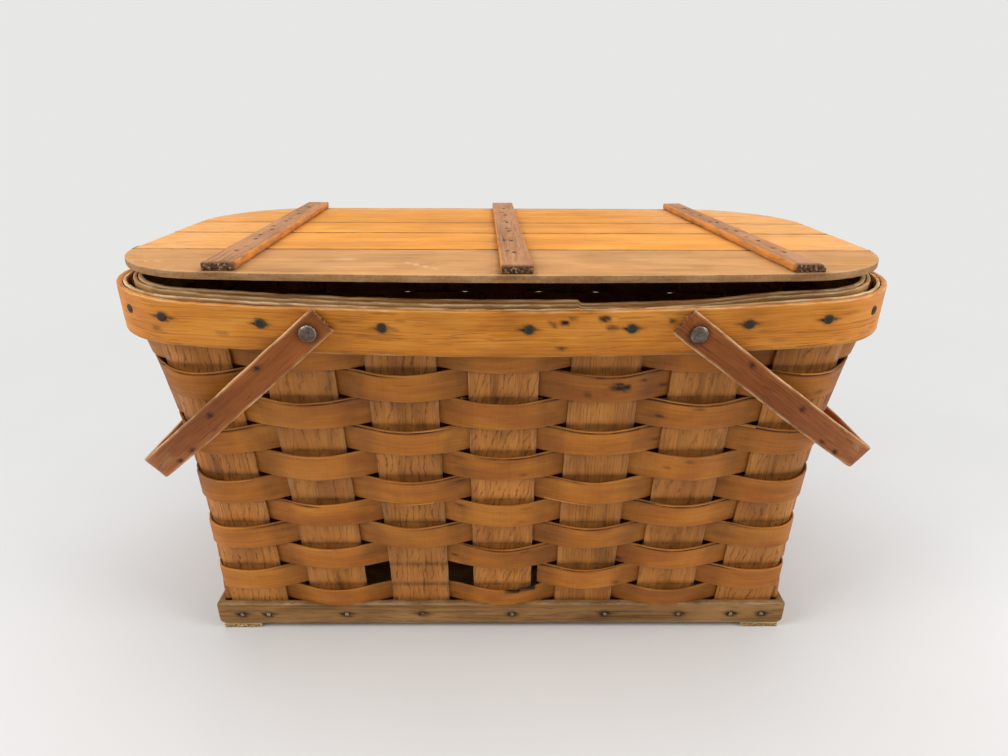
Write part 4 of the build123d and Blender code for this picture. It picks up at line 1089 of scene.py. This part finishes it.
def make_batten(number, name):
    """A batten across the planks. Returns where its nails stand."""
    centre, skew = BATTENS[number]
    near = -LID_FRONT + 4.0 + LID_FRONT_BOW * (centre / (LID_LENGTH / 2)) ** 2
    far = LID_BACK + 2.0
    middle, half, turn = (near + far) / 2, (far - near) / 2, math.radians(skew)
    seed, width = 601 + 7 * number, BATTEN_WIDTH / 2
    nails = [(n - (BATTEN_NAILS - 1) / 2) * BATTEN_NAIL_PITCH for n in range(BATTEN_NAILS)]

    def lay(u, v, w):
        if number == 2:
            arris = BATTEN_THICKNESS / 2 - np.maximum(0, v - (width - 3.0))
            w = np.where(w > 0, np.minimum(w, arris), w)
        x = centre + v * math.cos(turn) - u * math.sin(turn)
        y = middle + v * math.sin(turn) + u * math.cos(turn)
        return ajar(np.stack([x, y, LID_TOP + BATTEN_THICKNESS / 2 + w], -1))

    def marks(u, v, w, paint):
        colours = np.zeros_like(paint)
        for n, at in enumerate(nails):
            beside = at + 16 * pick(seed + n, 2), 8 * pick(seed + n, 3) - 5, 2.6, 2.0, 1.3
            spots(colours, DIRT_AND_SHADE, u, v, ((at, 0, 3.2, 2.2, 0.8), beside))
        paint += colours * (w > 1.0)[..., None]
        paint[..., WEAR_AND_SHEEN] += 0.9 * (np.abs(v) > width - 0.4)
        # Painted shade: darker along the foot of the batten, where it sits on the planks
        paint[..., DIRT_AND_SHADE] += 0.45 * (1 - soft(w, -BATTEN_THICKNESS / 2, -BATTEN_THICKNESS / 2 + 1.2))
        paint[..., DIRT_AND_SHADE] += 0.6 * soft(u + half, 5.0, 0.5)

    node = f"batten_{name}"
    plate(node + "_wood", stations(-half, half, 2.5, (0.2, 0.5, 1)), -width, width, BATTEN_THICKNESS, lay, "lid",
          "batten_wood", BATTEN_WOOD, [node], 0.1, seed, 0.5, marks, bevel=0.6, columns=13, wear=0.8)
    level, axis = LID_TOP + BATTEN_THICKNESS - 0.1, (0, math.sin(LID_AJAR), math.cos(LID_AJAR))
    return [(tuple(ajar((centre - at * math.sin(turn), middle + at * math.cos(turn), level))), axis) for at in nails]


# Pale scratches across the lid's boards, each a line of places
SCRATCHES = (
    ((-55, -130), (-47, -113), (-40, -100), (-45, -97), (-52, -94)), ((97, 8), (110, 20), (123, 36)),
    ((-160, -100), (-153, -97)), ((98, -112), (112, -114), (121, -112)), ((-118, 40), (-96, 42)),
)
strokes = [([ajar((u, v, LID_TOP - 0.02)) for u, v in line], 0.75, 0.06, (0, 0, 1)) for line in SCRATCHES]
splinters("lid_scratches", strokes, "lid", FRAY_WOOD)
nail_frames = []
for number, name in enumerate(("left", "centre", "right")):
    nail_frames += make_batten(number, name)
lathe("batten_nail_heads", ((1.1, -9), (1.1, -0.2), (1.45, 0.0), (1.4, 0.2), (0.6, 0.3)), nail_frames, "lid",
      "nail_metal", IRON, ["batten_nails"], 10, 0.15, (3,))


# Handles


def strap_path():
    """The middle line of a whole strap seen along its width: points and normals from one tail to the other."""
    cant = math.radians(ARM_CANT)
    cross = ARM_LENGTH + STRAP_THICKNESS / 2
    bend_x = cross - BEND_RADIUS
    draw = (bend_x - ARM_STRAIGHT) / math.sin(cant) + BEND_RADIUS
    draw_y = draw - ARM_LINE_Y
    bend_y = draw_y - (draw - BEND_RADIUS) * math.cos(cant)
    tail = np.concatenate([[-ARM_TAIL, -ARM_TAIL + 0.3, -ARM_TAIL + 0.8], np.arange(-ARM_TAIL + 2, ARM_STRAIGHT, 2.5)])
    points, normals = [(x, -ARM_LINE_Y) for x in tail], [(0, -1)] * len(tail)
    for x, y, radius, angles in ((ARM_STRAIGHT, draw_y, draw, np.linspace(0, cant, 44)),
                                 (bend_x, bend_y, BEND_RADIUS, np.linspace(cant, math.pi / 2, 14)[1:])):
        for sine, cosine in zip(np.sin(angles), np.cos(angles)):
            points.append((x + radius * sine, y - radius * cosine))
            normals.append((sine, -cosine))
    for y in np.linspace(bend_y, 0, 42)[1:]:
        points.append((cross, y))
        normals.append((1, 0))
    return (np.array(half + [(x, -y) for x, y in half[-2::-1]]) for half in (points, normals))


HANDLE_SPOTS = [(at, across, 4.0, 2.2, 0.9) for at, across in ((88, 3), (120, -6), (135, -6.5), (40, 5))]


def make_handle(name, x, turn, flip, seed):
    points, normals = strap_path()
    u = path_length(points)
    swing, spin = Matrix.Rotation(math.radians(turn), 4, "Y"), Matrix.Rotation(math.pi if flip else 0, 4, "Z")
    rotate = np.array(Matrix.Translation((x, 0, PIVOT_Z)) @ swing @ spin)
    half = STRAP_WIDTH / 2
    lo = -half + 0.1 + 0.25 * noise(u / 14, 1, seed, 2)
    hi = half - 0.1 + 0.25 * noise(u / 14, 2, seed, 2)
    reach = points[:, :1]

    def strap(uu, v, w):
        flat = points[:, None] + normals[:, None] * w[..., None]
        return raised(flat, v) @ rotate[:3, :3].T + rotate[:3, 3]

    def marks(uu, v, w, paint):
        worn = soft(reach, 100, 165)
        paint[..., TONE] += 0.05 * worn + 0.06 * noise(uu / 40, v / 6, seed + 2, 2)
        paint[..., WEAR_AND_SHEEN] += 0.3 * worn * soft(noise(uu / 16, v / 4, seed + 3, 2), 0.0, 0.6)
        paint[..., WEAR_AND_SHEEN] += 0.35 * soft(np.abs(v), half - 1.6, half - 0.2)
        paint[..., DIRT_AND_SHADE] += 0.6 * soft(np.hypot(reach, v), 9.5, 5.0) + 0.3 * soft(-reach, 8, 12)
        spots(paint, DIRT_AND_SHADE, reach, v, HANDLE_SPOTS)

    plate(name + "_wood", u, lo, hi, STRAP_THICKNESS, strap, name, "handle_wood", HANDLE_WOOD, [name], 0.12, seed,
          0.5, marks, bevel=1.0, ease=0.7, columns=11)


make_handle("left_handle", -PIVOT_X, -LEFT_HANG, True, 701)
make_handle("right_handle", PIVOT_X, RIGHT_HANG, False, 731)


# Hinges: the solid leaves stay, and get their iron and their nails

HINGE_X, LEAF_FACE_Y, LEAF_NAIL_HEIGHTS = 47.0, 137.808, (279.5, 273.5)
for node in ("rim_hinge_leaves", "lid_hinge_leaves", "hinge_pins"):
    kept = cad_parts[node].data.materials
    for index in range(len(kept)):
        kept[index] = HINGE_IRON
    if not len(kept):
        kept.append(HINGE_IRON)
hinge_frames = []
for at in (-HINGE_X - 7, -HINGE_X + 7, HINGE_X - 7, HINGE_X + 7):
    hinge_frames += [((at, LEAF_FACE_Y - 0.02 * abs(at) / 60, z), (0, 1, 0)) for z in LEAF_NAIL_HEIGHTS]
lathe("hinge_nail_heads", ((0.9, -3), (0.9, -0.1), (1.6, 0.0), (1.65, 0.2), (1.2, 0.5), (0.4, 0.6)), hinge_frames,
      "basket", "nail_metal", IRON, (), 12, 0.1, (3,))


# Stage, light and camera

BACKDROP = (0.80, 0.80, 0.79, 1)
PAPER = (0.3, (0.66, 0.655, 0.645, 1)), (0.7, (0.69, 0.685, 0.675, 1))
SURROUND, SURROUND_STRENGTH = (0.86, 0.90, 0.96, 1), 0.42
FLOOR_SIZE, FADE_FROM, FADE_TO = 12.0, 0.35, 1.15


def make_floor():
    """Pale paper that fades into the backdrop away from the basket."""
    mesh = bpy.data.meshes.new("floor")
    corners = [(x * FLOOR_SIZE, y * FLOOR_SIZE, 0) for x, y in ((-1, -1), (1, -1), (1, 1), (-1, 1))]
    mesh.from_pydata(corners, [], [(0, 1, 2, 3)])
    t = Tree(bpy.data.materials.new("floor_paper"))
    place = t.add("TexCoord").outputs["Object"]
    colour = t.ramp(t.noise(place, (3, 3, 3), 3), *PAPER)
    paper = t.add("BsdfPrincipled", {"Base Color": colour, "Roughness": 0.9, "Specular IOR Level": 0.2})
    glow = t.add("Emission", {"Color": BACKDROP, "Strength": 1.0})
    away = t.add("VectorMath", {0: place}, operation="LENGTH").outputs["Value"]
    seen = t.add("LightPath").outputs["Is Camera Ray"]
    fade = t.times(t.range(away, FADE_FROM, FADE_TO), seen)
    mixed = t.add("MixShader", {0: fade, 1: paper.outputs[0], 2: glow.outputs[0]})
    t.add("OutputMaterial", {0: mixed.outputs[0]})
    mesh.materials.append(t.holder)
    floor = bpy.data.objects.new("floor", mesh)
    bpy.context.scene.collection.objects.link(floor)


def make_world():
    """An even pale surround, with the backdrop's own colour where the camera sees it."""
    t = Tree(bpy.data.worlds.new("studio"))
    path = t.add("LightPath")
    plain = t.add("Background", {0: SURROUND, 1: SURROUND_STRENGTH})
    shown = t.add("Background", {0: BACKDROP})
    mixed = t.add("MixShader", {0: path.outputs["Is Camera Ray"], 1: plain.outputs[0], 2: shown.outputs[0]})
    t.add("OutputWorld", {0: mixed.outputs[0]})
    bpy.context.scene.world = t.holder


def area_light(name, place, aim, size, power, colour):
    light = bpy.data.lights.new(name, "AREA")
    light.shape, light.size, light.size_y = "RECTANGLE", *size
    light.energy, light.color = power, colour
    lamp = bpy.data.objects.new(name, light)
    lamp.location = place
    lamp.rotation_euler = (Vector((0, 0, aim)) - Vector(place)).to_track_quat("-Z", "Y").to_euler()
    bpy.context.scene.collection.objects.link(lamp)


make_floor()
make_world()
area_light("left", (-1.55, -0.65, 1.15), 0.15, (1.0, 1.0), 22, (1.0, 0.98, 0.95))
area_light("right", (1.6, -0.5, 1.05), 0.15, (1.0, 1.0), 20.5, (1.0, 0.97, 0.93))
area_light("top", (0.0, 0.2, 1.6), 0.2, (1.6, 1.2), 14.5, (0.98, 0.99, 1.0))


def make_camera():
    """The measured view: 24 degrees down from just in front of the basket, with its lens worked out for a 1008 by 756
    frame; the frame's size is not set here.
    """
    yaw, pitch, roll = math.radians(0.56), math.radians(23.96), math.radians(0.32)
    focal, width, sensor = 650.0, 1008.0, 36.0
    right = Vector((math.cos(yaw), -math.sin(yaw), 0))
    ahead = Vector((math.sin(yaw) * math.cos(pitch), math.cos(yaw) * math.cos(pitch), -math.sin(pitch)))
    up = right.cross(ahead)
    across = right * math.cos(roll) + up * math.sin(roll)
    upright = up * math.cos(roll) - right * math.sin(roll)
    data = bpy.data.cameras.new("camera")
    data.sensor_width, data.lens = sensor, focal / width * sensor
    camera = bpy.data.objects.new("camera", data)
    turn = Matrix((across, upright, -ahead)).transposed().to_4x4()
    camera.matrix_world = Matrix.Translation((-0.00343, -0.50399, 0.4017)) @ turn
    bpy.context.scene.collection.objects.link(camera)
    bpy.context.scene.camera = camera


make_camera()
bpy.context.scene.view_settings.view_transform = "Standard"
bpy.context.view_layer.update()
